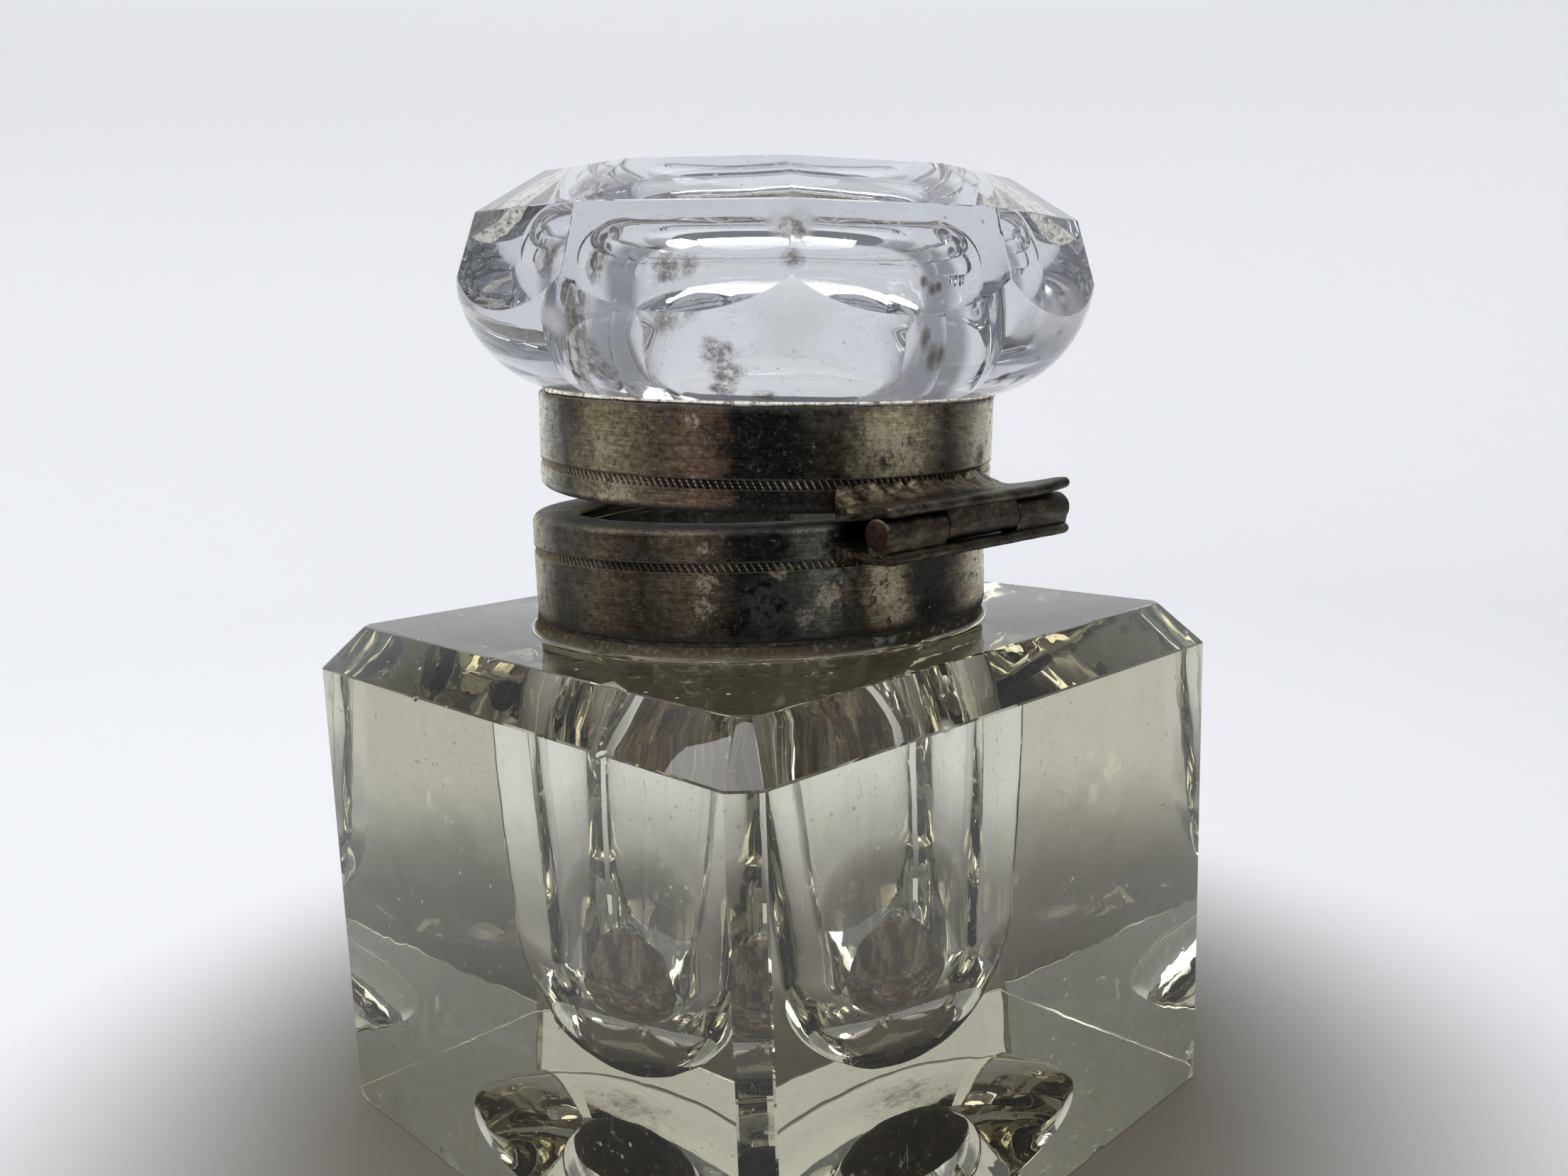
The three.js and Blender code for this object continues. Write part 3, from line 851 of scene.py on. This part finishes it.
def glass(
    name, tint, film, stain_spots, more_stain, frost_spots, frost_z, absorb, lamp_tint, tone_dirt=None
):
    """Old cut glass: fine scratches, dust, dried dirt in stains and ground or chipped patches.

    film is how much dust lies all over, absorb is the colour and density of the volume, lamp_tint is what
    the glass lets through to shadows, and more_stain(f) and tone_dirt(f, colour) add to the dirt.
    """
    f = Finish(name)
    p = f.shader.inputs
    p["Base Color"].default_value = colour(tint)
    p["Transmission Weight"].default_value = 1
    p["IOR"].default_value = 1.52

    grain = f.noise(0.55, 5, 0.6)
    scratch = None
    for shift, (sx, sy, sz) in enumerate(((0.9, 0.9, 0.06), (0.07, 0.8, 0.5), (0.8, 0.07, 0.6))):
        line = f.noise(1.3, 2, 0.4, f.stretched(sx, sy, sz, 3.7 * shift))
        line = f.rise(f.math("ABSOLUTE", f.minus(line, 0.5)), 0.006, 0.0)
        scratch = line if scratch is None else f.most(scratch, line)
    scratch = f.times(scratch, f.rise(grain, 0.56, 0.66))
    speck = f.times(f.rise(f.cells(0.8), 0.16, 0.07), f.rise(f.noise(0.21, 3), 0.52, 0.62))

    frost = f.times(f.spots(frost_spots), f.rise(f.noise(1.1, 6, 0.7), 0.18, 0.50))
    frost = f.times(frost, f.band(f.z, frost_z[0], frost_z[1], 0.4))

    patchy = f.times(f.rise(f.noise(1.3, 8, 0.78), 0.38, 0.60), 0.68)
    patchy = f.plus(patchy, 0.14)
    places = f.spots(stain_spots)
    fray = f.times(f.minus(f.noise(0.75, 7, 0.7), 0.5), 2.0)
    stain = f.times(f.rise(f.plus(places, fray), 0.15, 1.0), f.rise(places, 0.0, 0.25))
    stain = f.most(f.times(stain, patchy), more_stain(f))
    dirt_colour = f.ramp(f.noise(1.6, 6, 0.7), OLD_DIRT)
    if tone_dirt:
        dirt_colour = tone_dirt(f, dirt_colour)

    f.put(p["Roughness"], f.plus(f.times(frost, 0.3), f.times(scratch, 0.15)))
    ripples = f.times(f.noise(0.16, 2, 0.4), 1.2)
    ground = f.times(f.times(frost, f.noise(3.5, 6, 0.75)), 0.18)
    height = f.plus(ripples, ground)
    height = f.minus(height, f.times(scratch, 0.03))
    f.put(p["Normal"], f.bump(height, 0.35, 0.12))

    dirt = f.node("ShaderNodeBsdfDiffuse", {"Color": dirt_colour})
    dust = f.node("ShaderNodeBsdfDiffuse", {"Color": (0.72, 0.71, 0.68)})
    haze = f.most(f.times(scratch, 0.30), f.times(speck, 0.55))
    haze = f.most(haze, f.times(frost, 0.22))
    haze = f.plus(haze, film, True)
    body = f.node("ShaderNodeMixShader", {0: haze, 1: f.shader.outputs[0], 2: dust})
    body = f.node("ShaderNodeMixShader", {0: stain, 1: body, 2: dirt})
    lit = f.node("ShaderNodeBsdfTransparent", {0: lamp_tint})
    path = f.tree.nodes.new("ShaderNodeLightPath").outputs["Is Shadow Ray"]
    f.put(f.output.inputs["Surface"], f.node("ShaderNodeMixShader", {0: path, 1: body, 2: lit}))
    f.put(f.output.inputs["Volume"], f.node("ShaderNodeVolumeAbsorption", {0: absorb[0], 1: absorb[1]}))
    return f.material


def olive_seat(f, dirt_colour):
    """The dark colour turns olive above the shoulder, on the seat under the lower collar."""
    above = f.rise(f.z, SHOULDER_TOP - 0.5, SHOULDER_TOP)
    return f.mix(above, dirt_colour, f.mix(0.75, dirt_colour, (0.060, 0.054, 0.026)))


def block_stain(f):
    """Faint brown runs of old ink on the well's wall, denser low down, and a darkened seat under the collar.
    """
    inside = f.rise(f.reach((0, 0)), 13.6, 13.3)
    runs = f.rise(f.noise(1.0, 6, 0.65, f.stretched(1.1, 1.1, 0.12)), 0.60, 0.74)
    spatter = f.rise(f.noise(2.4, 5, 0.7), 0.66, 0.74)
    low = f.rise(f.z, 15.0, 9.5)
    marks = f.most(f.times(runs, 0.30), f.times(spatter, 0.6))
    marks = f.plus(marks, f.times(low, f.times(runs, 0.5)), True)
    marks = f.times(f.times(inside, f.band(f.z, 6.5, 38.0, 1.0)), marks)
    seat = f.rise(f.z, SHOULDER_TOP + 0.02, SHOULDER_TOP + 0.3)
    seat = f.times(seat, f.rise(f.reach((0, 0)), NECK_RADIUS + 0.2, NECK_RADIUS + 0.6))
    ragged = f.plus(f.times(f.rise(f.noise(1.6, 7, 0.75), 0.40, 0.50), 0.10), 0.90)
    return f.most(marks, f.times(seat, ragged))


# Three dried drops inside the lid's hollow.
LID_DOTS = lid_spots((42, 12, 61.95, 0.55), (45.5, 12, 61.5, 0.6), (48.5, 12, 61.6, 0.5))


def lid_stain(f):
    """Specks of dirt inside the lid's hollow."""
    inside = f.rise(f.reach(LID_CENTRE), 12.7, 12.4)
    specks = f.rise(f.noise(2.1, 6, 0.72), 0.655, 0.71)
    specks = f.most(specks, f.spots(LID_DOTS))
    runs = f.rise(f.noise(1.0, 5, 0.6, f.stretched(1.0, 1.0, 0.14, 5.0)), 0.64, 0.78)
    marks = f.most(f.times(specks, 0.8), f.times(runs, 0.25))
    return f.times(f.times(inside, f.rise(f.z, 66.0, 65.3)), marks)


def metal(
    name, base, rough, grime_and_shade, seed, speck=(0.57, 0.66), gleam=(0.60, 0.68), lines=None,
    gleam_colour=(0.5, 0.46, 0.37), rubbed=(), tips=None,
):
    """Old worn metal: base tone, blotches of tarnish, bright worn specks, pits and fine scratches.

    speck and gleam are the noise levels where pits and worn specks begin and end, lines(f) gives the
    coordinates of scratches, rubbed lists spots that are worn bright and tips(f) is where crests are bright.
    """
    f = Finish(name)
    shift = f.stretched(1, 1, 1, seed)
    base = base(f)
    blotch = f.noise(0.42, 6, 0.62, shift)
    fine = f.noise(3.4, 7, 0.72, shift)
    mottle = f.noise(1.7, 8, 0.74, f.stretched(1, 1, 1.5, seed + 11))
    tone = f.ramp(mottle, ((0.30, 0.30), (0.5, 1.15), (0.72, 2.3)))
    base = f.mix(1.0, base, tone, "MULTIPLY")
    if lines:
        hair = f.noise(1.0, 6, 0.75, lines(f))
        base = f.mix(0.85, base, f.ramp(hair, ((0.3, 0.35), (0.5, 1.0), (0.7, 1.9))), "MULTIPLY")
    worn = f.times(f.rise(fine, gleam[0], gleam[1]), f.rise(blotch, 0.45, 0.62))
    light = f.times(f.node("ShaderNodeRGBToBW", {0: base}), 5.0, True)
    worn = f.times(worn, f.plus(f.times(light, 0.75), 0.08))
    base = f.mix(f.times(worn, 0.85), base, gleam_colour)
    if rubbed:
        flecks = f.plus(f.noise(2.7, 9, 0.85), f.times(f.spots(rubbed), 0.13))
        base = f.mix(f.times(f.rise(flecks, 0.595, 0.64), 0.75), base, gleam_colour)
    if tips:
        base = f.mix(f.times(tips(f), 0.6), base, gleam_colour)
    pits = f.rise(f.noise(1.7, 6, 0.75, f.stretched(1, 1, 1, seed + 23)), speck[0], speck[1])
    # Pits and the grime mask darken the metal; on the collars the mask also holds a painted shadow line
    # above the groove.
    dirt = f.most(pits, grime_and_shade(f))
    base = f.mix(dirt, base, f.ramp(fine, ((0.35, (0.007, 0.006, 0.005)), (0.65, (0.045, 0.034, 0.024)))))
    p = f.shader.inputs
    f.put(p["Base Color"], base)
    f.put(p["Metallic"], f.minus(1.0, f.times(dirt, 0.85)))
    spread = f.plus(rough, f.times(f.minus(mottle, 0.5), 0.35))
    f.put(p["Roughness"], f.plus(spread, f.times(dirt, 0.30), True))
    height = f.plus(f.times(mottle, 0.8), f.times(fine, 0.5))
    height = f.minus(height, f.times(pits, 0.9))
    if lines:
        height = f.plus(height, f.times(hair, 0.5))
    f.put(p["Normal"], f.bump(height, 0.55, 0.05))
    return f.material


def around(centre, tarnish_and_reflections):
    """A base tone that changes round a collar, partly tarnish and partly painted reflection; the zones are
    (degrees from the front corner, colour).
    """
    def base(f):
        drift = f.times(f.minus(f.noise(0.7, 5, 0.6), 0.5), 0.035)
        place = f.plus(f.turn(centre), drift)
        return f.ramp(place, [(0.5 + degrees / 360, shade_) for degrees, shade_ in tarnish_and_reflections])
    return base


def spun(centre):
    """Coordinates for fine scratches that run round a collar."""
    def lines(f):
        along = f.times(f.turn(centre), 26.0)
        return f.node("ShaderNodeCombineXYZ", {0: along, 1: 0.0, 2: f.times(f.z, 11.0)})
    return lines


def collar_grime_and_shadow(top, bottom, band, centre, radius, blots):
    """Black dirt along a collar's edges and in its groove, a painted shadow line just above the groove, and
    dirt where blots are.
    """
    def grime_and_shade(f):
        jitter = f.times(f.minus(f.noise(0.9, 5, 0.7), 0.5), 1.1)
        z = f.plus(f.z, jitter)
        edges = f.most(f.rise(z, bottom + 0.75, bottom + 0.1), f.rise(z, top - 0.5, top + 0.05))
        deep = f.rise(f.reach(centre), radius - GROOVE - 0.25 * TOOTH, radius - GROOVE - 0.75 * TOOTH)
        # Painted shadow: a thin dark line just above the groove.
        painted_shadow_line = f.band(f.z, band[1] - 0.05, band[1] + 0.07, 0.04)
        groove = f.times(f.band(f.z, *band, 0.02), deep)
        groove = f.most(groove, f.times(painted_shadow_line, 0.8))
        total = f.most(f.times(edges, 0.9), groove)
        ragged = f.rise(f.noise(1.5, 6, 0.7), 0.40, 0.55)
        return f.most(total, f.times(f.spots(blots), ragged))
    return grime_and_shade


def tooth_tips(band, centre, radius):
    """The crests of a milled band, which stay bright."""
    def tips(f):
        crest = f.rise(f.reach(centre), radius - GROOVE - 0.30 * TOOTH, radius - GROOVE - 0.05 * TOOTH)
        return f.times(f.band(f.z, *band, 0.02), crest)
    return tips


def plain(colours, scale=0.5):
    """A base tone that drifts between a few colours."""
    def base(f):
        stops = [(0.3 + 0.4 * i / (len(colours) - 1), c) for i, c in enumerate(colours)]
        return f.ramp(f.noise(scale, 4, 0.6), stops)
    return base


def leaf_tones(f):
    """Dark brass, with paler solder towards the collar."""
    brass = plain(((0.016, 0.012, 0.008), (0.045, 0.036, 0.023), (0.10, 0.084, 0.056)))(f)
    solder = f.rise(f.noise(0.9, 7, 0.7), 0.40, 0.56)
    solder = f.times(f.rise(f.y, HINGE_Y - 1.6, HINGE_Y - 3.0), solder)
    return f.mix(f.times(solder, 0.8), brass, (0.19, 0.16, 0.10))


def light_grime(f):
    """A few blots of dirt."""
    return f.rise(f.noise(0.8, 6, 0.7), 0.60, 0.75)


def crust(name, stops, scale, rough, bump_mm):
    """A dry, crumbly surface such as plaster or dried ink."""
    f = Finish(name)
    coarse = f.noise(scale, 8, 0.72)
    fine = f.noise(scale * 3.1, 6, 0.75)
    cracks = f.rise(f.cells(scale * 1.3), 0.5, 0.1)
    mixed = f.plus(f.times(coarse, 0.65), f.times(fine, 0.35))
    f.put(f.shader.inputs["Base Color"], f.ramp(mixed, stops))
    f.put(f.shader.inputs["Roughness"], f.plus(f.times(fine, 0.3), rough))
    height = f.plus(mixed, f.times(cracks, 0.15))
    f.put(f.shader.inputs["Normal"], f.bump(height, 0.9, bump_mm))
    return f.material


# ---- staging

# The floor is painted darker close under the block, as a painted shadow, and the walls at the sides are
# painted dimmer than the far wall, as painted shade.
FLOOR_PAINTED_SHADOW = (0.135, 0.122, 0.10)
WALL_TONE = (0.74, 0.745, 0.755)
SIDE_PAINTED_SHADE = (0.29, 0.295, 0.31)
FLOOR_DROP = -0.00005


def build_floor():
    """A pale round floor that curves up into a wall, with a painted shadow under the block and painted shade
    on the side walls.
    """
    floor_radius = 420.0
    curve = 170.0
    wall_top = 540.0
    profile = [(0, 0), (25, 0), (50, 0), (100, 0), (floor_radius - curve, 0)]
    profile += arc(floor_radius - curve, curve, curve, curve, 270, 360, 16)[1:]
    profile.append((floor_radius, wall_top))
    floor = make_object("floor", revolve(profile, 96), smooth_deg=60)
    f = Finish("floor_pale_painted_shadow")
    away = f.most(f.reach((0, 0)), 1.0)
    # Painted shadow: dark under and round the block, fading out to the pale wall tone.
    tone = f.mix(f.rise(away, 30.0, 76.0), FLOOR_PAINTED_SHADOW, WALL_TONE)
    # Painted shade: the outer floor and the walls away from the far side are painted dimmer.
    back = math.radians(FRONT + 180)
    facing = f.plus(f.times(f.x, math.cos(back)), f.times(f.y, math.sin(back)))
    aside = f.rise(f.math("DIVIDE", facing, away), 0.72, 0.40)
    tone = f.mix(f.times(aside, f.rise(away, 170.0, 300.0)), tone, SIDE_PAINTED_SHADE)
    f.put(f.shader.inputs["Base Color"], tone)
    f.shader.inputs["Roughness"].default_value = 0.7
    floor.data.materials.append(f.material)
    floor.location.z = FLOOR_DROP


def area_light(name, place, target, size, power, tint=(1, 1, 1)):
    """A soft rectangular light at place (metres), facing target."""
    data = bpy.data.lights.new(name, "AREA")
    data.shape = "RECTANGLE"
    data.size, data.size_y = size
    data.energy = power
    data.color = tint
    lamp = bpy.data.objects.new(name, data)
    lamp.location = place
    lamp.rotation_mode = "QUATERNION"
    lamp.rotation_quaternion = (Vector(target) - Vector(place)).to_track_quat("-Z", "Y")
    bpy.context.scene.collection.objects.link(lamp)


def build_lights():
    """Soft boxes high at the front that wash the far wall, and a dim surround."""
    area_light("overhead", (0.14, 0.14, 0.62), (-0.14, -0.14, 0.05), size=(0.68, 0.68), power=4.9)
    area_light("side", (0.26, -0.24, 0.46), (-0.3, 0.0, 0.1), (0.3, 0.3), power=1.1, tint=(0.95, 0.97, 1.0))
    world = bpy.data.worlds.new("surround")
    world.use_nodes = True
    world.node_tree.nodes["Background"].inputs["Color"].default_value = (0.19, 0.205, 0.235, 1)
    world.node_tree.nodes["Background"].inputs["Strength"].default_value = 1.0
    bpy.context.scene.world = world


# ---- camera


def build_camera():
    """A close wide view of the front corner between the +X and +Y faces."""
    azimuth = math.radians(46.932)
    distance = 99.934
    height = 58.166
    yaw = math.radians(-1.133)
    pitch = math.radians(9.526)
    roll = math.radians(-1.854)
    heading = azimuth + math.pi + yaw
    forward = Vector((
        math.cos(heading) * math.cos(pitch),
        math.sin(heading) * math.cos(pitch),
        -math.sin(pitch),
    ))
    level_right = forward.cross(Vector((0, 0, 1))).normalized()
    level_up = level_right.cross(forward)
    right = math.cos(roll) * level_right + math.sin(roll) * level_up
    up = -math.sin(roll) * level_right + math.cos(roll) * level_up
    data = bpy.data.cameras.new("camera")
    data.lens = 29.85
    data.sensor_width = 36
    data.clip_start = 0.005
    camera = bpy.data.objects.new("camera", data)
    basis = Matrix((right, up, -forward)).transposed().to_4x4()
    place = Vector((distance * math.cos(azimuth), distance * math.sin(azimuth), height)) * MM
    camera.matrix_world = Matrix.Translation(place) @ basis
    bpy.context.scene.collection.objects.link(camera)
    bpy.context.scene.camera = camera


# ---- marks and tones

# Collar tones, from the blackest to the brightest: tarnish colours, which the zones below also use as
# painted reflection.
SOOT_AND_DARK_REFLECTION = (0.012, 0.011, 0.01)
UMBER = (0.035, 0.028, 0.02)
BROWN = (0.1, 0.08, 0.05)
ROSE = (0.16, 0.1, 0.065)
PEWTER = (0.12, 0.12, 0.1)
OLIVE = (0.3, 0.25, 0.15)
GOLD = (0.4, 0.34, 0.21)
SILVER_AND_BRIGHT_REFLECTION = (0.7, 0.65, 0.5)

# Broad zones round each collar, partly tarnish and partly painted reflection: the bright zones near 80
# degrees either side are painted bright reflection, and the black zone at the front is painted dark
# reflection. Each zone is a direction from the front corner in degrees, and a tone.
UPPER_TARNISH_AND_REFLECTIONS = (
    (-180, BROWN), (-150, GOLD), (-122, UMBER), (-78, SILVER_AND_BRIGHT_REFLECTION), (-55, UMBER), (-41, OLIVE), (-25, BROWN),
    (-16, ROSE), (-8, SOOT_AND_DARK_REFLECTION), (6, SOOT_AND_DARK_REFLECTION), (16, UMBER), (28, GOLD), (45, UMBER), (62, OLIVE), (85, SILVER_AND_BRIGHT_REFLECTION),
    (106, BROWN), (134, GOLD), (158, UMBER), (180, BROWN),
)
LOWER_TARNISH_AND_REFLECTIONS = (
    (-180, BROWN), (-150, OLIVE), (-120, UMBER), (-78, GOLD), (-55, UMBER), (-41, BROWN), (-28, UMBER),
    (-15, BROWN), (-5, SOOT_AND_DARK_REFLECTION), (4, SOOT_AND_DARK_REFLECTION), (13, PEWTER), (22, UMBER), (30, OLIVE), (39, SOOT_AND_DARK_REFLECTION), (50, UMBER),
    (64, GOLD), (85, SILVER_AND_BRIGHT_REFLECTION), (108, BROWN), (140, OLIVE), (164, UMBER), (180, BROWN),
)

# Where the metal is rubbed bright in specks, and where it has black blots: direction, height and size.
UPPER_RUBS = (
    (29, 52.4, 2.0), (24, 53.6, 1.6), (34, 51.6, 1.8), (60, 53.0, 2.4), (70, 51.0, 2.6), (78, 53.8, 2.2),
    (27, 50.0, 1.6), (-17, 54.5, 0.9), (-16, 50.6, 0.8), (-36, 49.6, 1.6), (-40, 52.4, 1.4),
    (-76, 51.5, 2.6), (130, 52.5, 3.0),
)
LOWER_RUBS = (
    (29, 43.3, 2.0), (31, 41.8, 1.5), (27, 44.6, 1.3), (62, 43.5, 2.4), (70, 45.2, 2.2), (67, 41.8, 1.6),
    (15, 43.4, 1.7), (9, 42.2, 1.1), (-13, 43.0, 1.2), (-12, 46.9, 0.8), (-12, 44.7, 1.2), (4, 45.2, 1.0),
    (-70, 44.5, 2.2), (145, 44.0, 3.0),
)
UPPER_BLOTS = (
    (-22, 54.8, 0.9), (33.4, 53.1, 0.6), (13, 55.2, 2.4), (46, 52.4, 1.8), (27, 51.9, 1.2), (62, 51.5, 1.2),
    (-130, 52, 3.0),
)
LOWER_BLOTS = (
    (-31, 46.8, 0.9), (2, 43, 3.2), (40, 44, 2.4), (52, 46, 2.0), (-52, 42.5, 2.2), (20, 42, 1.5),
    (160, 44, 3.5),
)


def collar_spots(centre, radius, rows):
    """Places and sizes on a collar's wall, from rows of direction, height and size."""
    spots = []
    for degrees, z, size in rows:
        a = math.radians(FRONT + degrees)
        spots.append(((centre[0] + radius * math.cos(a), centre[1] + radius * math.sin(a), z), size))
    return spots


def collar_metal(
    name, centre, radius, ends, band, tarnish_and_reflections, blots, rubs, rough, seed, speck, gleam, gleam_colour
):
    """The worn plate of one collar; ends are the heights of its top and bottom."""
    grime_and_shade = collar_grime_and_shadow(*ends, band, centre, radius, collar_spots(centre, radius, blots))
    return metal(
        name, around(centre, tarnish_and_reflections), rough, grime_and_shade, seed, speck, gleam, spun(centre), gleam_colour,
        collar_spots(centre, radius, rubs), tooth_tips(band, centre, radius),
    )


# ---- build

BLOCK_GLASS = glass(
    "block_glass", (0.985, 0.985, 0.98), 0.004,
    [((0, 0, 9.0), 8.5)], block_stain,
    [
        ((25, -25, 0.5), 2.6), ((-25, 25, 2.0), 3.4), ((25, 25, 0), 1.5), ((25, -9, 0.2), 1.4),
        ((8, 25, 36.4), 0.9),
    ],
    (-1, 60), ((0.49, 0.45, 0.22), 20.0), (0.30, 0.29, 0.26), olive_seat,
)
LID_GLASS = glass(
    "lid_glass", (0.985, 0.988, 0.99), 0.012,
    lid_spots(
        (-34, 21.5, 59.2, 1.8), (-33, 20.3, 57.6, 1.8), (-31, 18.9, 56.4, 1.5), (-10, 21.4, 59.0, 1.7),
        (-9, 20.3, 57.6, 1.7), (-11, 19.0, 56.4, 1.5), (-31, 12, 62.9, 1.9), (-24, 12, 63.2, 1.3),
        (-64, 12, 62.8, 2.2), (1.3, 22.2, 65.8, 1.4), (1.3, 22.5, 64.2, 1.1), (-22, 18.4, 55.9, 1.4),
        (-3, 18.4, 55.9, 1.3), (48, 20.0, 57.0, 1.1), (56, 19.6, 56.8, 1.0),
    ),
    lid_stain,
    lid_spots(
        (1.3, 23.2, 60.8, 3.4), (52, 23.2, 60.6, 3.2), (62, 23.2, 60.9, 3.2), (44, 23.2, 60.6, 2.2),
        (1.3, 22.0, 66.6, 2.0), (-38, 23, 60.4, 1.6),
    ),
    (58.0, 67.9), ((0.53, 0.56, 0.61), 20.0), (0.90, 0.91, 0.92),
)
UPPER_METAL = collar_metal(
    "upper_collar_plate", UPPER_CENTRE, UPPER_RADIUS, (UPPER_TOP, UPPER_BOTTOM), UPPER_BAND,
    UPPER_TARNISH_AND_REFLECTIONS, UPPER_BLOTS, UPPER_RUBS, 0.30, 3.0, (0.575, 0.64), (0.56, 0.66), (0.52, 0.465, 0.335),
)
LOWER_METAL = collar_metal(
    "lower_collar_plate", LOWER_CENTRE, LOWER_RADIUS, (LOWER_TOP, LOWER_BOTTOM), LOWER_BAND,
    LOWER_TARNISH_AND_REFLECTIONS, LOWER_BLOTS, LOWER_RUBS, 0.34, 17.0, (0.56, 0.63), (0.55, 0.64), (0.44, 0.385, 0.27),
)
HINGE_METAL = metal(
    "hinge_brass", leaf_tones, 0.40, light_grime, 29.0,
    (0.57, 0.68), (0.57, 0.68), lambda f: f.stretched(0.5, 3.5, 3.5), (0.26, 0.235, 0.17),
)
PIN_METAL = metal(
    "rusty_pin", plain(((0.018, 0.010, 0.006), (0.05, 0.028, 0.016)), 1.2), 0.5, light_grime, 41.0,
    (0.55, 0.68), (0.62, 0.72), None, (0.20, 0.14, 0.10),
)
PLASTER = crust(
    "old_plaster",
    (
        (0.37, (0.02, 0.014, 0.009)), (0.44, (0.22, 0.16, 0.10)),
        (0.49, (0.62, 0.56, 0.46)), (0.58, (0.85, 0.83, 0.77)),
    ),
    1.6, 0.65, 0.12,
)
NECK_DIRT = crust(
    "dirty_plaster",
    (
        (0.38, (0.016, 0.012, 0.008)), (0.50, (0.05, 0.04, 0.024)),
        (0.60, (0.12, 0.105, 0.065)), (0.72, (0.32, 0.29, 0.22)),
    ),
    1.3, 0.65, 0.12,
)
INK = crust(
    "dried_ink",
    (
        (0.36, (0.010, 0.007, 0.004)), (0.47, (0.055, 0.040, 0.020)),
        (0.55, (0.20, 0.15, 0.085)), (0.66, (0.50, 0.42, 0.29)),
    ),
    0.33, 0.6, 0.08,
)
LOWER_LEAF_Z = HINGE_Z - BARREL_RADIUS - LEAF_GAP - LEAF_THICK
UPPER_LEAF_Z = HINGE_Z + BARREL_RADIUS + LEAF_GAP

finish(build_block(), "base", BLOCK_GLASS, "glass", "glass_block")
finish(build_lid_glass(), "lid", LID_GLASS, "glass", "lid_glass")
lower = build_collar(
    "lower_collar_spun", LOWER_CENTRE, LOWER_RADIUS, LOWER_BOTTOM, LOWER_TOP, LOWER_BAND, 13.0, LOWER_DENTS
)
finish(lower, "base", LOWER_METAL, "silver_plate", "lower_collar")
upper = build_collar(
    "upper_collar_spun", UPPER_CENTRE, UPPER_RADIUS, UPPER_TOP, UPPER_BOTTOM, UPPER_BAND, 29.0,
    UPPER_DENTS, LID_PLACE,
)
finish(upper, "lid", UPPER_METAL, "silver_plate", "upper_collar")
finish(build_lower_cement(), "base", NECK_DIRT, "cement", "lower_cement")
finish(build_upper_cement(), "lid", PLASTER, "cement", "upper_cement")
finish(build_dried_ink(), "base", INK, "cement")
lower_leaf = build_leaf("lower_leaf", LOWER_CENTRE, LOWER_RADIUS, LOWER_LEAF_Z, False, 5.0)
finish(lower_leaf, "base", HINGE_METAL, "tarnished_brass", "lower_hinge_leaf")
upper_leaf = build_leaf("upper_leaf", UPPER_CENTRE, UPPER_RADIUS, UPPER_LEAF_Z, True, 8.0, LID_PLACE)
finish(upper_leaf, "lid", HINGE_METAL, "tarnished_brass", "upper_hinge_leaf")
for side, start, end, web_up, seed, body, place in (
    ("right", OUTER_START, KNUCKLE_END, False, 2.0, "base", None),
    ("left", -KNUCKLE_END, -OUTER_START, False, 4.0, "base", None),
    ("middle", -MIDDLE_HALF, MIDDLE_HALF, True, 6.0, "lid", LID_PLACE),
):
    barrel = build_knuckle(side + "_barrel", start, end, web_up, seed, place)
    finish(barrel, body, HINGE_METAL, "tarnished_brass", side + "_knuckle")
finish(build_pin(), "base", PIN_METAL, "pin_steel", "hinge_pin")

build_floor()
build_lights()
build_camera()

cycles = bpy.context.scene.cycles
cycles.max_bounces = 24
cycles.transmission_bounces = 24
cycles.glossy_bounces = 12
cycles.transparent_max_bounces = 24
cycles.caustics_refractive = True
cycles.caustics_reflective = False
cycles.sample_clamp_indirect = 4
bpy.context.scene.view_settings.view_transform = "Standard"
